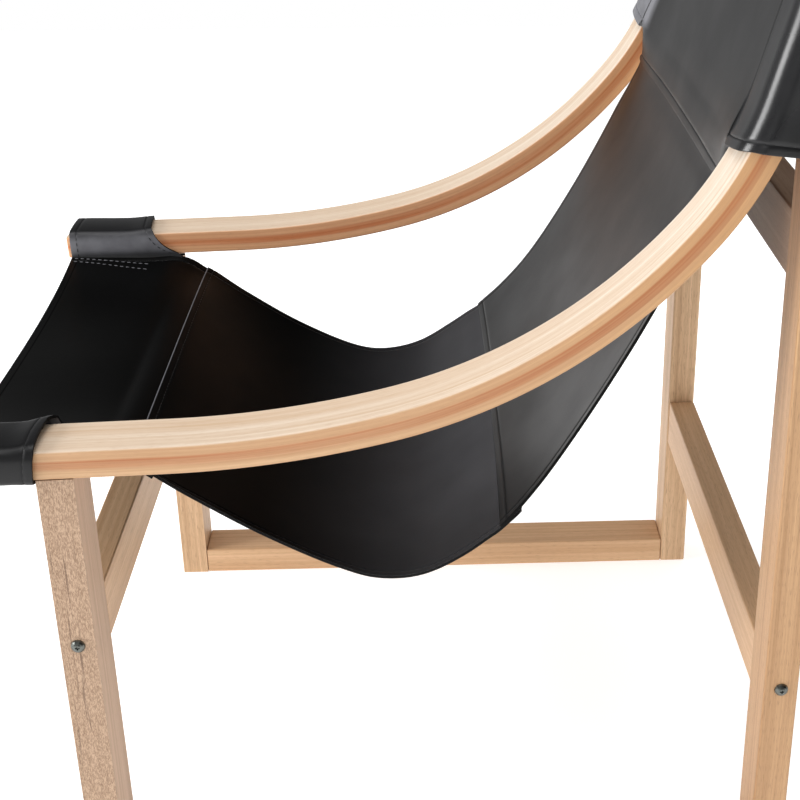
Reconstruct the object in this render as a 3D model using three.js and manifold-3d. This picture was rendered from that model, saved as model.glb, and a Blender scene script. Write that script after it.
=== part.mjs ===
// Leather sling lounge chair: a bolted ash frame with two bent-laminated side rails
// that carry one long hanging seat and back of black leather.
// Millimetres, +Z up. +X is the sitter's left and the sitter looks along -Y.
// While it is being built, Y is zero at the front face of the front legs.
import * as THREE from 'three';
import { mergeVertices } from 'three/addons/utils/BufferGeometryUtils.js';
import Module from 'manifold-3d';

const wasm = await Module();
wasm.setup();

// Driving dimensions: frame
const overallWidth = 700;
const overallHeight = 975;
const legSpan = 724.5;
const legWidth = 60.4;
const frontLegDepth = 34.2;
const rearLegDepth = 34.9;
const frontLegHeight = 481.7;
const rearJointDrop = 122.5;
const rearLegTopDrop = 25;
const runnerHeight = 35.8;
const runnerWidth = 59.8;
const edgeRadius = 2.5;
const jointGap = 0.3;

// Driving dimensions: bent side rails
const railWidth = 62.9;
const railThickness = 28.2;
const railOverhang = 105.5;
const railFrontSlope = THREE.MathUtils.degToRad(1.61);
const frontBendRadius = 998;
const middleBendRadius = 530;
const rearBendRadius = 321;
const frontBendTurn = THREE.MathUtils.degToRad(11.9);
const middleBendTurn = THREE.MathUtils.degToRad(36.8);
const rearBendTurn = THREE.MathUtils.degToRad(23.7);

// Driving dimensions: cross rails, each with its bolt's height above its lower edge
const crossRailDepth = 33.4;
const stretcherHeight = 62.5;
const frontStretcherBottom = 273;
const frontBoltRise = 28.7;
const rearStretcherBottom = 192.1;
const rearBoltRise = 35.3;
const upperRailHeight = 63.5;
const upperRailDrop = 207.1;
const upperBoltRise = 31.7;

// Driving dimensions: bolts, barrel nuts and dowels
const boltRadius = 4;
const boltReach = 100;
const boltHeadRadius = 7.05;
const boltHeadHeight = 4.6;
const recessArm = 4.6;
const recessWidth = 1.5;
const recessDepth = 2.2;
const nutRadius = 6;
const nutLength = 20;
const nutSetback = 30;
const nutSlotWidth = 1.6;
const nutSlotDepth = 1.2;
const dowelRadius = 5;
const dowelSpacing = 28;
const dowelInLeg = 20;
const dowelInRunner = 30;
const dowelInRail = 18;
const dowelCover = 7.7;
const pinRadius = 4;
const pinRise = 16;
const pinInLeg = 20;
const pinInCrossRail = 21.5;
const rearDowelRise = 28;
const boreClearance = 0.3;
const cutOverrun = 2;

// Driving dimensions: leather
const leatherThickness = 3;
const leatherGap = 0.3;
const leatherCorner = 5;
const loopInset = 5.5;
const loopLength = 99.4;
const loopTopSkew = 12;
const gussetReach = 41;
const sleeveTopDrop = 12;
const sleeveLength = 184;
const sleeveHemDip = 11;
const sleeveHemFall = 11;
const seatLowPoint = 305;
const seatLowHeight = 339;
const seamLap = 25;
const seamRamp = 14;
const usualSag = 10;

// Hanging line of the leather's side edges. Each row holds shares: of the run and of the fall or
// rise between two anchors, of the half width, and of the usual sag, which is how far the middle
// of the sheet hangs below its edges.
const fallShares = [
  { run: 0, drop: 0, width: 1, sag: 1.6 },
  { run: 0.247, drop: 0, width: 1, sag: 2.1 },
  { run: 0.351, drop: 0, width: 1, sag: 2.6 },
  { run: 0.427, drop: 0.159, width: 0.996, sag: 1.3 },
  { run: 0.546, drop: 0.361, width: 0.993, sag: 1 },
  { run: 0.719, drop: 0.666, width: 0.997, sag: 0.9 },
  { run: 0.909, drop: 0.944, width: 1.019, sag: 0.8 },
  { run: 1, drop: 1, width: 1.05, sag: 0.7 },
];
const riseShares = [
  { run: 0.13, rise: 0.016, width: 1.078, sag: 0.7 },
  { run: 0.26, rise: 0.07, width: 1.093, sag: 0.6 },
  { run: 0.377, rise: 0.137, width: 1.081, sag: 0.5 },
  { run: 0.482, rise: 0.22, width: 1.047, sag: 0.5 },
  { run: 0.588, rise: 0.325, width: 1.009, sag: 0.5 },
  { run: 0.758, rise: 0.536, width: 0.984, sag: 0.5 },
  { run: 0.915, rise: 0.765, width: 0.977, sag: 0.6 },
  { run: 1.004, rise: 0.907, width: 0.983, sag: 0.7 },
  { run: 1, rise: 1, width: 1, sag: 0.9 },
];
const upperSagShares = [1, 1, 0.9, 0.8];

// Which row of the hanging line each panel starts on, how many rows of cells it has, and
// whether its upper end runs on below the next panel as a lap.
const panels = [
  { name: 'front_panel', from: 0, to: 3, cells: 10, lapped: true },
  { name: 'seat_panel', from: 3, to: 10, cells: 18, lapped: true },
  { name: 'back_panel', from: 10, to: 15, cells: 14, lapped: true },
  { name: 'upper_back_panel', from: 15, to: 20, cells: 10, lapped: false },
];

// Numbers of facets
const cornerSteps = 1;
const wrapCornerSteps = 2;
const panelColumns = 12;
const loopSteps = 5;
const sleeveSteps = 7;
const dowelSides = 12;
const boltSides = 16;
const domeSteps = 4;
const curveSamples = 400;

// How flat the middle of the sagging sheet is: 2 is a plain arc, more is flatter
const sagFlatness = 2.6;

// The rail's bends from front to rear, with the number of facets in each
const railBends = [
  { radius: frontBendRadius, turn: frontBendTurn, steps: 5 },
  { radius: middleBendRadius, turn: middleBendTurn, steps: 11 },
  { radius: rearBendRadius, turn: rearBendTurn, steps: 7 },
];

// Places worked out from the driving dimensions
const outerFace = overallWidth / 2;
const legInnerFace = outerFace - legWidth;
const railInnerFace = outerFace - railWidth;
const legCentre = outerFace - legWidth / 2;
const railCentre = outerFace - railWidth / 2;
const rearLegFront = legSpan - rearLegDepth;
const halfRail = railThickness / 2;
const frontLegMiddle = frontLegDepth / 2;
const rearLegMiddle = rearLegFront + rearLegDepth / 2;
const rearLegTop = overallHeight - rearLegTopDrop;
const rearJointHeight = overallHeight - rearJointDrop;
const sleeveTop = overallHeight - sleeveTopDrop;
const sleeveHem = sleeveTop - sleeveLength;

// Cross rails between the two sides
const crossRails = [
  {
    name: 'front_stretcher',
    bottom: frontStretcherBottom,
    height: stretcherHeight,
    boltRise: frontBoltRise,
    atRear: false,
  },
  {
    name: 'rear_stretcher',
    bottom: rearStretcherBottom,
    height: stretcherHeight,
    boltRise: rearBoltRise,
    atRear: true,
  },
  {
    name: 'upper_back_rail',
    bottom: rearJointHeight - upperRailDrop,
    height: upperRailHeight,
    boltRise: upperBoltRise,
    atRear: true,
  },
];

// Finishes
const finish = (color, roughness, metalness = 0) => (
  new THREE.MeshStandardMaterial({ color, roughness, metalness })
);
const railWood = finish(0xe3bd94, 0.55);
const frameWood = finish(0xd2aa80, 0.6);
const dowelWood = finish(0xdcc19a, 0.7);
const leather = finish(0x1c1c1e, 0.42);
const darkSteel = finish(0x34323a, 0.3, 1);
const plainSteel = finish(0xa9abad, 0.4, 1);

const chair = new THREE.Group();

function addPiece(name, geometry, material) {
  geometry.computeVertexNormals();
  const mesh = new THREE.Mesh(geometry, material);
  mesh.name = name;
  chair.add(mesh);
}

// Both sides of the chair: the left one lies at +X
const sides = [
  { label: 'left', sign: 1 },
  { label: 'right', sign: -1 },
];

// A closed skin over a row of rings that all have the same number of points.
// Ends are fans from a middle point, strips across a flat ring, or joined first to last.
function loft(rings, ends) {
  const count = rings[0].length;
  const points = rings.flat();
  const faces = [];
  const quad = (a, b, c, d) => faces.push(a, b, c, a, c, d);
  const spans = ends === 'joined' ? rings.length : rings.length - 1;
  for (let r = 0; r < spans; r += 1) {
    const here = r * count;
    const next = ((r + 1) % rings.length) * count;
    for (let i = 0; i < count; i += 1) {
      const j = (i + 1) % count;
      quad(here + i, here + j, next + j, next + i);
    }
  }
  if (ends !== 'joined') {
    [0, rings.length - 1].forEach((r) => {
      const first = r * count;
      const turn = r === 0 ? (a, b, c) => faces.push(a, c, b) : (a, b, c) => faces.push(a, b, c);
      if (ends === 'fan') {
        const middle = points.length;
        const sum = new THREE.Vector3();
        rings[r].forEach((p) => sum.add(p));
        points.push(sum.divideScalar(count));
        for (let i = 0; i < count; i += 1) {
          turn(first + i, first + ((i + 1) % count), middle);
        }
      } else {
        for (let i = 0; i < count / 2 - 1; i += 1) {
          const far = count - 1 - i;
          turn(first + i, first + i + 1, first + far - 1);
          turn(first + i, first + far - 1, first + far);
        }
      }
    });
  }
  const geometry = new THREE.BufferGeometry().setFromPoints(points);
  geometry.setIndex(faces);
  return facingOut(geometry);
}

// Turns every face over if the skin encloses a negative volume
function facingOut(geometry) {
  const place = geometry.attributes.position;
  const index = geometry.index.array;
  const corners = [new THREE.Vector3(), new THREE.Vector3(), new THREE.Vector3()];
  let volume = 0;
  for (let i = 0; i < index.length; i += 3) {
    corners.forEach((corner, k) => corner.fromBufferAttribute(place, index[i + k]));
    volume += corners[0].dot(corners[1].clone().cross(corners[2]));
  }
  if (volume < 0) {
    geometry.setIndex(Array.from(index).reverse());
  }
  return geometry;
}

// A rectangle with rounded corners, as points counter-clockwise about its middle
function roundedSection(width, depth, radius, steps) {
  const points = [];
  const corners = [[1, 1], [-1, 1], [-1, -1], [1, -1]];
  corners.forEach(([sx, sy], quarter) => {
    const centre = new THREE.Vector2(sx * (width / 2 - radius), sy * (depth / 2 - radius));
    for (let i = 0; i <= steps; i += 1) {
      const angle = (quarter + i / steps) * Math.PI / 2;
      const edge = new THREE.Vector2(Math.cos(angle), Math.sin(angle)).multiplyScalar(radius);
      points.push(centre.clone().add(edge));
    }
  });
  return points;
}

// Joining and cutting of closed solids
function asSolid(geometry) {
  const bare = geometry.clone();
  bare.deleteAttribute('normal');
  bare.deleteAttribute('uv');
  const merged = mergeVertices(bare);
  return new wasm.Manifold(new wasm.Mesh({
    numProp: 3,
    vertProperties: new Float32Array(merged.attributes.position.array),
    triVerts: new Uint32Array(merged.index.array),
  }));
}

function asGeometry(solid) {
  const mesh = solid.getMesh();
  const geometry = new THREE.BufferGeometry();
  geometry.setAttribute('position', new THREE.BufferAttribute(mesh.vertProperties, mesh.numProp));
  geometry.setIndex(new THREE.BufferAttribute(mesh.triVerts, 1));
  return geometry.toNonIndexed();
}

function cutBy(geometry, tools) {
  const rest = tools.reduce((solid, tool) => solid.subtract(asSolid(tool)), asSolid(geometry));
  return asGeometry(rest);
}

// A round rod between two points
function rod(radius, from, to, segments) {
  const along = to.clone().sub(from);
  const geometry = new THREE.CylinderGeometry(radius, radius, along.length(), segments);
  const upright = new THREE.Vector3(0, 1, 0);
  const turn = new THREE.Quaternion().setFromUnitVectors(upright, along.clone().normalize());
  geometry.applyQuaternion(turn);
  const middle = from.clone().add(to).divideScalar(2);
  return geometry.translate(middle.x, middle.y, middle.z);
}

// The hole that a rod sits in: wider and longer than the rod by the bore clearance
function boreFor(radius, from, to, segments) {
  const step = to.clone().sub(from).normalize().multiplyScalar(boreClearance);
  const start = from.clone().sub(step);
  const end = to.clone().add(step);
  return rod(radius + boreClearance, start, end, segments);
}

const dowel = (from, to) => ({ radius: dowelRadius, from, to });
const pin = (from, to) => ({ radius: pinRadius, from, to });
const pegSolid = (peg) => rod(peg.radius, peg.from, peg.to, dowelSides);
const pegBore = (peg) => boreFor(peg.radius, peg.from, peg.to, dowelSides);

// Centre line of a side rail: straight, three bends of falling radius, straight. The bends slide
// along the front straight until the rail's back meets the front of the rear leg.
function railLine() {
  const along = (angle) => new THREE.Vector2(Math.cos(angle), Math.sin(angle));
  const across = (angle) => new THREE.Vector2(-Math.sin(angle), Math.cos(angle));
  const line = [{ point: new THREE.Vector2(), angle: railFrontSlope }];
  railBends.forEach(({ radius, turn, steps }) => {
    const { point, angle } = line[line.length - 1];
    const centre = point.clone().addScaledVector(across(angle), radius);
    for (let i = 1; i <= steps; i += 1) {
      const at = angle + turn * i / steps;
      line.push({ point: centre.clone().addScaledVector(across(at), -radius), angle: at });
    }
  });
  const last = line[line.length - 1];
  const beyond = last.point.clone().addScaledVector(along(last.angle), overallHeight);
  line.push({ point: beyond, angle: last.angle });

  const ahead = along(railFrontSlope);
  const above = across(railFrontSlope);
  const overLeg = new THREE.Vector2(frontLegMiddle, frontLegHeight);
  overLeg.y += halfRail / Math.cos(railFrontSlope);
  const shoulder = new THREE.Vector2(rearLegFront, rearJointHeight).sub(overLeg);
  const back = line.map(({ point, angle }) => point.clone().addScaledVector(across(angle), -halfRail));
  const touch = pointAt(back, (p) => p.dot(above), shoulder.dot(above));
  const slide = shoulder.dot(ahead) - touch.dot(ahead);
  const start = overLeg.clone().addScaledVector(ahead, slide);
  line.forEach(({ point }) => point.add(start));
  const overhang = (railOverhang + frontLegMiddle) / Math.cos(railFrontSlope);
  const tip = overLeg.clone().addScaledVector(ahead, -overhang);
  line.unshift({ point: tip, angle: railFrontSlope });

  const topOf = ({ point, angle }) => point.y + halfRail * Math.cos(angle);
  const cut = line.findIndex((station) => topOf(station) >= overallHeight);
  const [from, to] = [line[cut - 1], line[cut]];
  const share = (overallHeight - topOf(from)) / (topOf(to) - topOf(from));
  const end = {
    point: from.point.clone().lerp(to.point, share),
    angle: THREE.MathUtils.lerp(from.angle, to.angle, share),
  };
  return [...line.slice(0, cut), end].map((station) => ({
    ...station,
    along: along(station.angle),
    across: across(station.angle),
  }));
}

// The point of a line of points at which a rising measure of them reaches a value
function pointAt(line, measure, value) {
  const found = line.findIndex((p) => measure(p) >= value);
  const k = found < 0 ? line.length - 1 : Math.max(1, found);
  const share = (value - measure(line[k - 1])) / (measure(line[k]) - measure(line[k - 1]));
  return line[k - 1].clone().lerp(line[k], share);
}

const railStations = railLine();
const railTip = railStations[0];
const railEnd = railStations[railStations.length - 1];

// Points of the rail's face at a distance from its centre line, and its Y at a height there.
// Positive distances lie on its front, which is its upper face where it lies flat.
const railFace = (offset) => (
  railStations.map(({ point, across }) => point.clone().addScaledVector(across, offset))
);
const railFaceAt = (offset, height) => pointAt(railFace(offset), (p) => p.y, height).x;
const railFrontAt = (height) => railFaceAt(halfRail, height);
const railBackAt = (height) => railFaceAt(-halfRail, height);

// Height of the rail's underside along its straight front part
function railUndersideAt(y) {
  const rise = (y - railTip.point.x) * Math.tan(railFrontSlope);
  return railTip.point.y + rise - halfRail / Math.cos(railFrontSlope);
}

// Dowels at the foot, under the front of the rail and on the rail's back
function legDowels(sign) {
  const columns = [-1, 1].map((k) => sign * legCentre + k * dowelSpacing / 2);
  const middle = runnerHeight / 2;
  const under = railUndersideAt(frontLegMiddle);
  const seat = rearJointHeight + rearDowelRise;
  const contact = new THREE.Vector2(railBackAt(seat), seat);
  const into = railEnd.across;
  const heelDepth = (contact.x - legSpan + dowelCover) / into.x;
  const heel = contact.clone().addScaledVector(into, -heelDepth);
  const nose = contact.clone().addScaledVector(into, dowelInRail);
  const columnDowels = (make) => columns.map(make);
  return {
    front_foot: columnDowels((x) => dowel(
      new THREE.Vector3(x, frontLegDepth - dowelInLeg, middle),
      new THREE.Vector3(x, frontLegDepth + dowelInRunner, middle),
    )),
    rear_foot: columnDowels((x) => dowel(
      new THREE.Vector3(x, rearLegFront - dowelInRunner, middle),
      new THREE.Vector3(x, rearLegFront + dowelInLeg, middle),
    )),
    front_top: columnDowels((x) => dowel(
      new THREE.Vector3(x, frontLegMiddle, under - dowelInLeg),
      new THREE.Vector3(x, frontLegMiddle, under + dowelInRail),
    )),
    rear_top: columnDowels((x) => dowel(
      new THREE.Vector3(x, heel.x, heel.y),
      new THREE.Vector3(x, nose.x, nose.y),
    )),
  };
}

// Bolt, barrel nut and locating pin at one end of a cross rail
function crossJoint(rail, sign) {
  const y = rail.atRear ? rearLegMiddle : frontLegMiddle;
  const z = rail.bottom + rail.boltRise;
  const nutX = sign * (legInnerFace - nutSetback);
  const seat = outerFace + jointGap;
  const tip = outerFace - boltReach;
  return {
    boltFrom: new THREE.Vector3(sign * seat, y, z),
    boltTo: new THREE.Vector3(sign * tip, y, z),
    nutFrom: new THREE.Vector3(nutX, y, z - nutLength / 2),
    nutTo: new THREE.Vector3(nutX, y, z + nutLength / 2),
    nutMouth: new THREE.Vector3(nutX, y, rail.bottom - cutOverrun),
    pin: pin(
      new THREE.Vector3(sign * (legInnerFace + pinInLeg), y, z + pinRise),
      new THREE.Vector3(sign * (legInnerFace - pinInCrossRail), y, z + pinRise),
    ),
    sign,
  };
}

function boltBore(joint) {
  const overrun = new THREE.Vector3(joint.sign * cutOverrun, 0, 0);
  return boreFor(boltRadius, joint.boltFrom.clone().add(overrun), joint.boltTo, boltSides);
}

// Button-head bolt with a cross recess, turned about its axis
function boltSolid(joint) {
  const length = joint.boltFrom.distanceTo(joint.boltTo);
  const profile = [new THREE.Vector2(0, -length), new THREE.Vector2(boltRadius, -length)];
  profile.push(new THREE.Vector2(boltRadius, 0), new THREE.Vector2(boltHeadRadius, 0));
  for (let i = 1; i <= domeSteps; i += 1) {
    const angle = (i / domeSteps) * Math.PI / 2;
    const radius = i === domeSteps ? 0 : boltHeadRadius * Math.cos(angle);
    profile.push(new THREE.Vector2(radius, boltHeadHeight * Math.sin(angle)));
  }
  const turned = new THREE.LatheGeometry(profile, boltSides);
  const recessFloor = boltHeadHeight - recessDepth;
  const arms = [[recessArm, recessWidth], [recessWidth, recessArm]].map(([width, thickness]) => (
    new THREE.BoxGeometry(width, boltHeadHeight, thickness)
      .translate(0, recessFloor + boltHeadHeight / 2, 0)
  ));
  const bolt = cutBy(turned, arms);
  const quarterTurn = new THREE.Matrix4().makeRotationZ(-joint.sign * Math.PI / 2);
  bolt.applyMatrix4(quarterTurn);
  return bolt.translate(joint.boltFrom.x, joint.boltFrom.y, joint.boltFrom.z);
}

// Barrel nut with its cross hole and a screwdriver slot in its lower end
function nutSolid(joint) {
  const body = rod(nutRadius, joint.nutFrom, joint.nutTo, boltSides);
  const slotHeight = nutSlotDepth + cutOverrun;
  const slot = new THREE.BoxGeometry(2 * nutRadius + cutOverrun, nutSlotWidth, slotHeight);
  slot.translate(joint.nutFrom.x, joint.nutFrom.y, joint.nutFrom.z + nutSlotDepth - slotHeight / 2);
  return cutBy(body, [boltBore(joint), slot]);
}

function nutBore(joint) {
  return boreFor(nutRadius, joint.nutMouth, joint.nutTo, boltSides);
}

// An upright leg: a rounded bar between the floor and a flat top that may slope along Y
function legBar(sign, frontY, depth, topAt) {
  const section = roundedSection(legWidth, depth, edgeRadius, cornerSteps);
  const inset = edgeRadius / 2;
  const foot = roundedSection(legWidth - edgeRadius, depth - edgeRadius, inset, cornerSteps);
  const place = (p, z) => new THREE.Vector3(sign * (legCentre + p.x), frontY + depth / 2 + p.y, z);
  return loft([
    foot.map((p) => place(p, 0)),
    section.map((p) => place(p, inset)),
    section.map((p) => place(p, topAt(frontY + depth / 2 + p.y))),
  ], 'fan');
}

// What is taken off a rear leg to seat the rail's back: a slab in front of the rail's back face
function legShoulder(sign) {
  const face = railFace(-halfRail - jointGap);
  const below = rearJointHeight - railWidth;
  const back = [pointAt(face, (p) => p.y, below), ...face.filter((p) => p.y > below)];
  const front = back.map((p) => new THREE.Vector2(p.x - 2 * rearLegDepth, p.y)).reverse();
  const halfSlab = legWidth / 2 + cutOverrun;
  return loft([-halfSlab, halfSlab].map((x) => [...back, ...front].map((p) => (
    new THREE.Vector3(sign * legCentre + x, p.x, p.y)
  ))), 'strip');
}

function makeSide({ label, sign }) {
  const dowels = legDowels(sign);
  const joints = crossRails.map((rail) => ({ rail, joint: crossJoint(rail, sign) }));
  const frontJoints = joints.filter(({ rail }) => !rail.atRear).map(({ joint }) => joint);
  const rearJoints = joints.filter(({ rail }) => rail.atRear).map(({ joint }) => joint);
  const legTools = (list, pegs) => [
    ...list.map(boltBore),
    ...list.map((joint) => pegBore(joint.pin)),
    ...pegs.map(pegBore),
  ];

  const frontTop = (y) => railUndersideAt(y) - jointGap;
  const frontLeg = legBar(sign, 0, frontLegDepth, frontTop);
  const frontTools = legTools(frontJoints, [...dowels.front_foot, ...dowels.front_top]);
  addPiece(`front_leg_${label}`, cutBy(frontLeg, frontTools), frameWood);

  const rearLeg = legBar(sign, rearLegFront, rearLegDepth, () => rearLegTop);
  const rearTools = legTools(rearJoints, [...dowels.rear_foot, ...dowels.rear_top]);
  addPiece(`rear_leg_${label}`, cutBy(rearLeg, [...rearTools, legShoulder(sign)]), frameWood);

  const runnerStart = frontLegDepth + jointGap;
  const runnerLength = rearLegFront - jointGap - runnerStart;
  const section = roundedSection(runnerWidth, runnerHeight, edgeRadius, cornerSteps);
  const runnerRing = (y) => section.map((p) => (
    new THREE.Vector3(sign * (legCentre + p.x), y, runnerHeight / 2 + p.y)
  ));
  const runner = loft([runnerRing(runnerStart), runnerRing(runnerStart + runnerLength)], 'fan');
  const footDowels = [...dowels.front_foot, ...dowels.rear_foot];
  addPiece(`floor_runner_${label}`, cutBy(runner, footDowels.map(pegBore)), frameWood);

  const railTools = [...dowels.front_top, ...dowels.rear_top].map(pegBore);
  addPiece(`side_rail_${label}`, cutBy(railBar(sign), railTools), railWood);

  Object.entries(dowels).forEach(([place, pair]) => pair.forEach((peg, k) => {
    addPiece(`dowel_${place}_${label}_${k + 1}`, pegSolid(peg), dowelWood);
  }));

  joints.forEach(({ rail, joint }) => {
    addPiece(`${rail.name}_bolt_${label}`, boltSolid(joint), darkSteel);
    addPiece(`${rail.name}_nut_${label}`, nutSolid(joint), plainSteel);
    addPiece(`${rail.name}_pin_${label}`, pegSolid(joint.pin), dowelWood);
  });
}

// The bent rail: one rounded section along the rail's line, eased at both ends
function railBar(sign) {
  const full = roundedSection(railWidth, railThickness, edgeRadius, cornerSteps);
  const inset = edgeRadius / 2;
  const eased = roundedSection(railWidth - 2 * inset, railThickness - 2 * inset, inset, cornerSteps);
  const ring = (section, station, shift) => section.map((p) => {
    const place = station.point.clone();
    place.add(station.across.clone().multiplyScalar(p.y));
    place.add(station.along.clone().multiplyScalar(shift));
    return new THREE.Vector3(sign * (railCentre + p.x), place.x, place.y);
  });
  const body = railStations.slice(1, -1).map((station) => ring(full, station, 0));
  return loft([
    ring(eased, railTip, 0),
    ring(full, railTip, inset),
    ...body,
    ring(full, railEnd, -inset),
    ring(eased, railEnd, 0),
  ], 'fan');
}

function makeCrossRail(rail) {
  const joints = sides.map(({ sign }) => crossJoint(rail, sign));
  const section = roundedSection(crossRailDepth, rail.height, edgeRadius, cornerSteps);
  const back = rail.atRear ? legSpan : frontLegDepth;
  const reach = legInnerFace - jointGap;
  const ring = (x) => section.map((p) => (
    new THREE.Vector3(x, back - crossRailDepth / 2 + p.x, rail.bottom + rail.height / 2 + p.y)
  ));
  const bar = loft([ring(-reach), ring(reach)], 'fan');
  const tools = joints.flatMap((joint) => [boltBore(joint), nutBore(joint), pegBore(joint.pin)]);
  addPiece(rail.name, cutBy(bar, tools), frameWood);
}

// Two outlines of a leather wrap, outside and inside, with matching points
function wrapOutlines(width, depth) {
  const grow = 2 * leatherThickness;
  const innerCorner = leatherCorner - leatherThickness;
  return {
    outside: roundedSection(width + grow, depth + grow, leatherCorner, wrapCornerSteps),
    inside: roundedSection(width, depth, innerCorner, wrapCornerSteps),
  };
}

// Loop of leather round the overhanging front end of a rail. Its rear hem runs back over the
// rail's top towards the seat, and its inner wall runs on as a gusset.
function loopBand({ label, sign }) {
  const width = railWidth + 2 * leatherGap;
  const depth = railThickness + 2 * leatherGap;
  const { outside, inside } = wrapOutlines(width, depth);
  const rearHem = (p) => {
    const inward = THREE.MathUtils.clamp((width / 2 - p.x) / width, 0, 1);
    const downward = THREE.MathUtils.clamp((depth / 2 - p.y) / depth, 0, 1);
    const onWall = p.x <= -width / 2;
    const onTop = p.y >= depth / 2;
    if (onWall) {
      return loopLength + THREE.MathUtils.lerp(loopTopSkew, gussetReach, downward);
    }
    return onTop ? loopLength + loopTopSkew * inward : loopLength;
  };
  const place = (p, s) => {
    const at = railTip.point.clone();
    at.add(railTip.along.clone().multiplyScalar(loopInset + s));
    at.add(railTip.across.clone().multiplyScalar(p.y));
    return new THREE.Vector3(sign * (railCentre + p.x), at.x, at.y);
  };
  const stations = outside.map((p, i) => {
    const hem = rearHem(p);
    const shares = Array.from({ length: loopSteps + 1 }, (_, k) => k / loopSteps);
    const out = shares.map((share) => place(p, hem * share));
    const back = shares.map((share) => place(inside[i], hem * share)).reverse();
    return [...out, ...back];
  });
  addPiece(`front_loop_${label}`, loft(stations, 'joined'), leather);
}

// Sleeve of leather round the upper rail and the rear leg together
function sleeveBand({ label, sign }) {
  const width = railWidth + 2 * leatherGap;
  const outlineAt = (height) => {
    const rear = Math.max(legSpan, railBackAt(height)) + leatherGap;
    const front = railFrontAt(height) - leatherGap;
    const { outside, inside } = wrapOutlines(width, rear - front);
    return { outside, inside, middle: (front + rear) / 2 };
  };
  const heights = (p) => {
    const inward = THREE.MathUtils.clamp((width / 2 - p.x) / width, 0, 1);
    const rearward = p.y > 0 ? 1 : 0;
    const hem = sleeveHem - sleeveHemDip * inward - sleeveHemFall * rearward;
    const shares = Array.from({ length: sleeveSteps + 1 }, (_, k) => k / sleeveSteps);
    return shares.map((share) => THREE.MathUtils.lerp(hem, sleeveTop, share));
  };
  const place = (p, middle, z) => new THREE.Vector3(sign * (railCentre + p.x), middle + p.y, z);
  const stations = outlineAt(sleeveTop).outside.map((p, i) => {
    const levels = heights(p).map((z) => ({ z, outline: outlineAt(z) }));
    const out = levels.map(({ z, outline }) => place(outline.outside[i], outline.middle, z));
    const back = levels.map(({ z, outline }) => place(outline.inside[i], outline.middle, z));
    return [...out, ...back.reverse()];
  });
  addPiece(`rear_sleeve_${label}`, loft(stations, 'joined'), leather);
}

// The leather's hanging shape: side edge as (half width, y, z), and the sag of the middle
function hangingLine() {
  const halfSheet = leatherThickness / 2;
  const halfWidth = railInnerFace - 2 * leatherGap - leatherThickness;
  const frontY = railTip.point.x + loopInset;
  const frontZ = railUndersideAt(0) - leatherGap - halfSheet;
  const hem = sleeveHem - sleeveHemDip;
  const upperY = (height) => railFrontAt(height) - leatherGap - halfSheet;
  const edge = [];
  const sags = [];
  fallShares.forEach((row) => {
    const y = THREE.MathUtils.lerp(frontY, seatLowPoint, row.run);
    const z = THREE.MathUtils.lerp(frontZ, seatLowHeight, row.drop);
    edge.push(new THREE.Vector3(halfWidth * row.width, y, z));
    sags.push(usualSag * row.sag);
  });
  riseShares.forEach((row) => {
    const y = THREE.MathUtils.lerp(seatLowPoint, upperY(hem), row.run);
    const z = THREE.MathUtils.lerp(seatLowHeight, hem, row.rise);
    edge.push(new THREE.Vector3(halfWidth * row.width, y, z));
    sags.push(usualSag * row.sag);
  });
  upperSagShares.forEach((share, k) => {
    const z = THREE.MathUtils.lerp(hem, sleeveTop, (k + 1) / upperSagShares.length);
    edge.push(new THREE.Vector3(halfWidth, upperY(z), z));
    sags.push(usualSag * share);
  });
  const sagPoints = sags.map((sag, k) => new THREE.Vector3(sag, edge[k].y, edge[k].z));
  const kind = 'centripetal';
  return {
    edge: new THREE.CatmullRomCurve3(edge, false, kind),
    sag: new THREE.CatmullRomCurve3(sagPoints, false, kind),
    lastRow: edge.length - 1,
  };
}

const hanging = hangingLine();
const edgeLengths = hanging.edge.getLengths(curveSamples);

// Distance along the side edge at which a row of the hanging line lies
const lengthAtRow = (row) => {
  const at = (row / hanging.lastRow) * curveSamples;
  const low = Math.floor(at);
  const high = Math.min(low + 1, curveSamples);
  return THREE.MathUtils.lerp(edgeLengths[low], edgeLengths[high], at - low);
};

// The curve's own parameter at a distance along the side edge
function parameterAt(length) {
  const whole = edgeLengths[curveSamples];
  const wanted = THREE.MathUtils.clamp(length, 0, whole);
  const high = Math.max(1, edgeLengths.findIndex((value) => value >= wanted));
  const span = edgeLengths[high] - edgeLengths[high - 1];
  return (high - 1 + (wanted - edgeLengths[high - 1]) / span) / curveSamples;
}

// One row of points across the sheet, on a surface that lies below the middle of its thickness
function sheetRow(length, below) {
  const t = parameterAt(length);
  const edge = hanging.edge.getPoint(t);
  const tangent = hanging.edge.getTangent(t);
  const down = new THREE.Vector3(0, tangent.z, -tangent.y).normalize();
  const sag = hanging.sag.getPoint(t).x;
  return Array.from({ length: panelColumns + 1 }, (_, k) => {
    const across = 2 * k / panelColumns - 1;
    const drop = sag * (1 - Math.abs(across) ** sagFlatness) + below;
    return new THREE.Vector3(across * edge.x, edge.y, edge.z).addScaledVector(down, drop);
  });
}

// Distances along the side edge of the rows in a panel's own visible part. One of them lies
// where the lap below it ends, so that both follow the same facets.
function mainLengths(panel) {
  const seam = lengthAtRow(panel.from);
  const covers = panel.from > 0;
  const start = covers ? seam + seamLap : seam;
  const end = lengthAtRow(panel.to) - (panel.lapped ? seamRamp : 0);
  const rows = Array.from({ length: panel.cells + 1 }, (_, i) => i / panel.cells);
  const lengths = rows.map((share) => THREE.MathUtils.lerp(start, end, share));
  return covers ? [seam + leatherGap, seam + seamLap / 2, ...lengths] : lengths;
}

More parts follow.
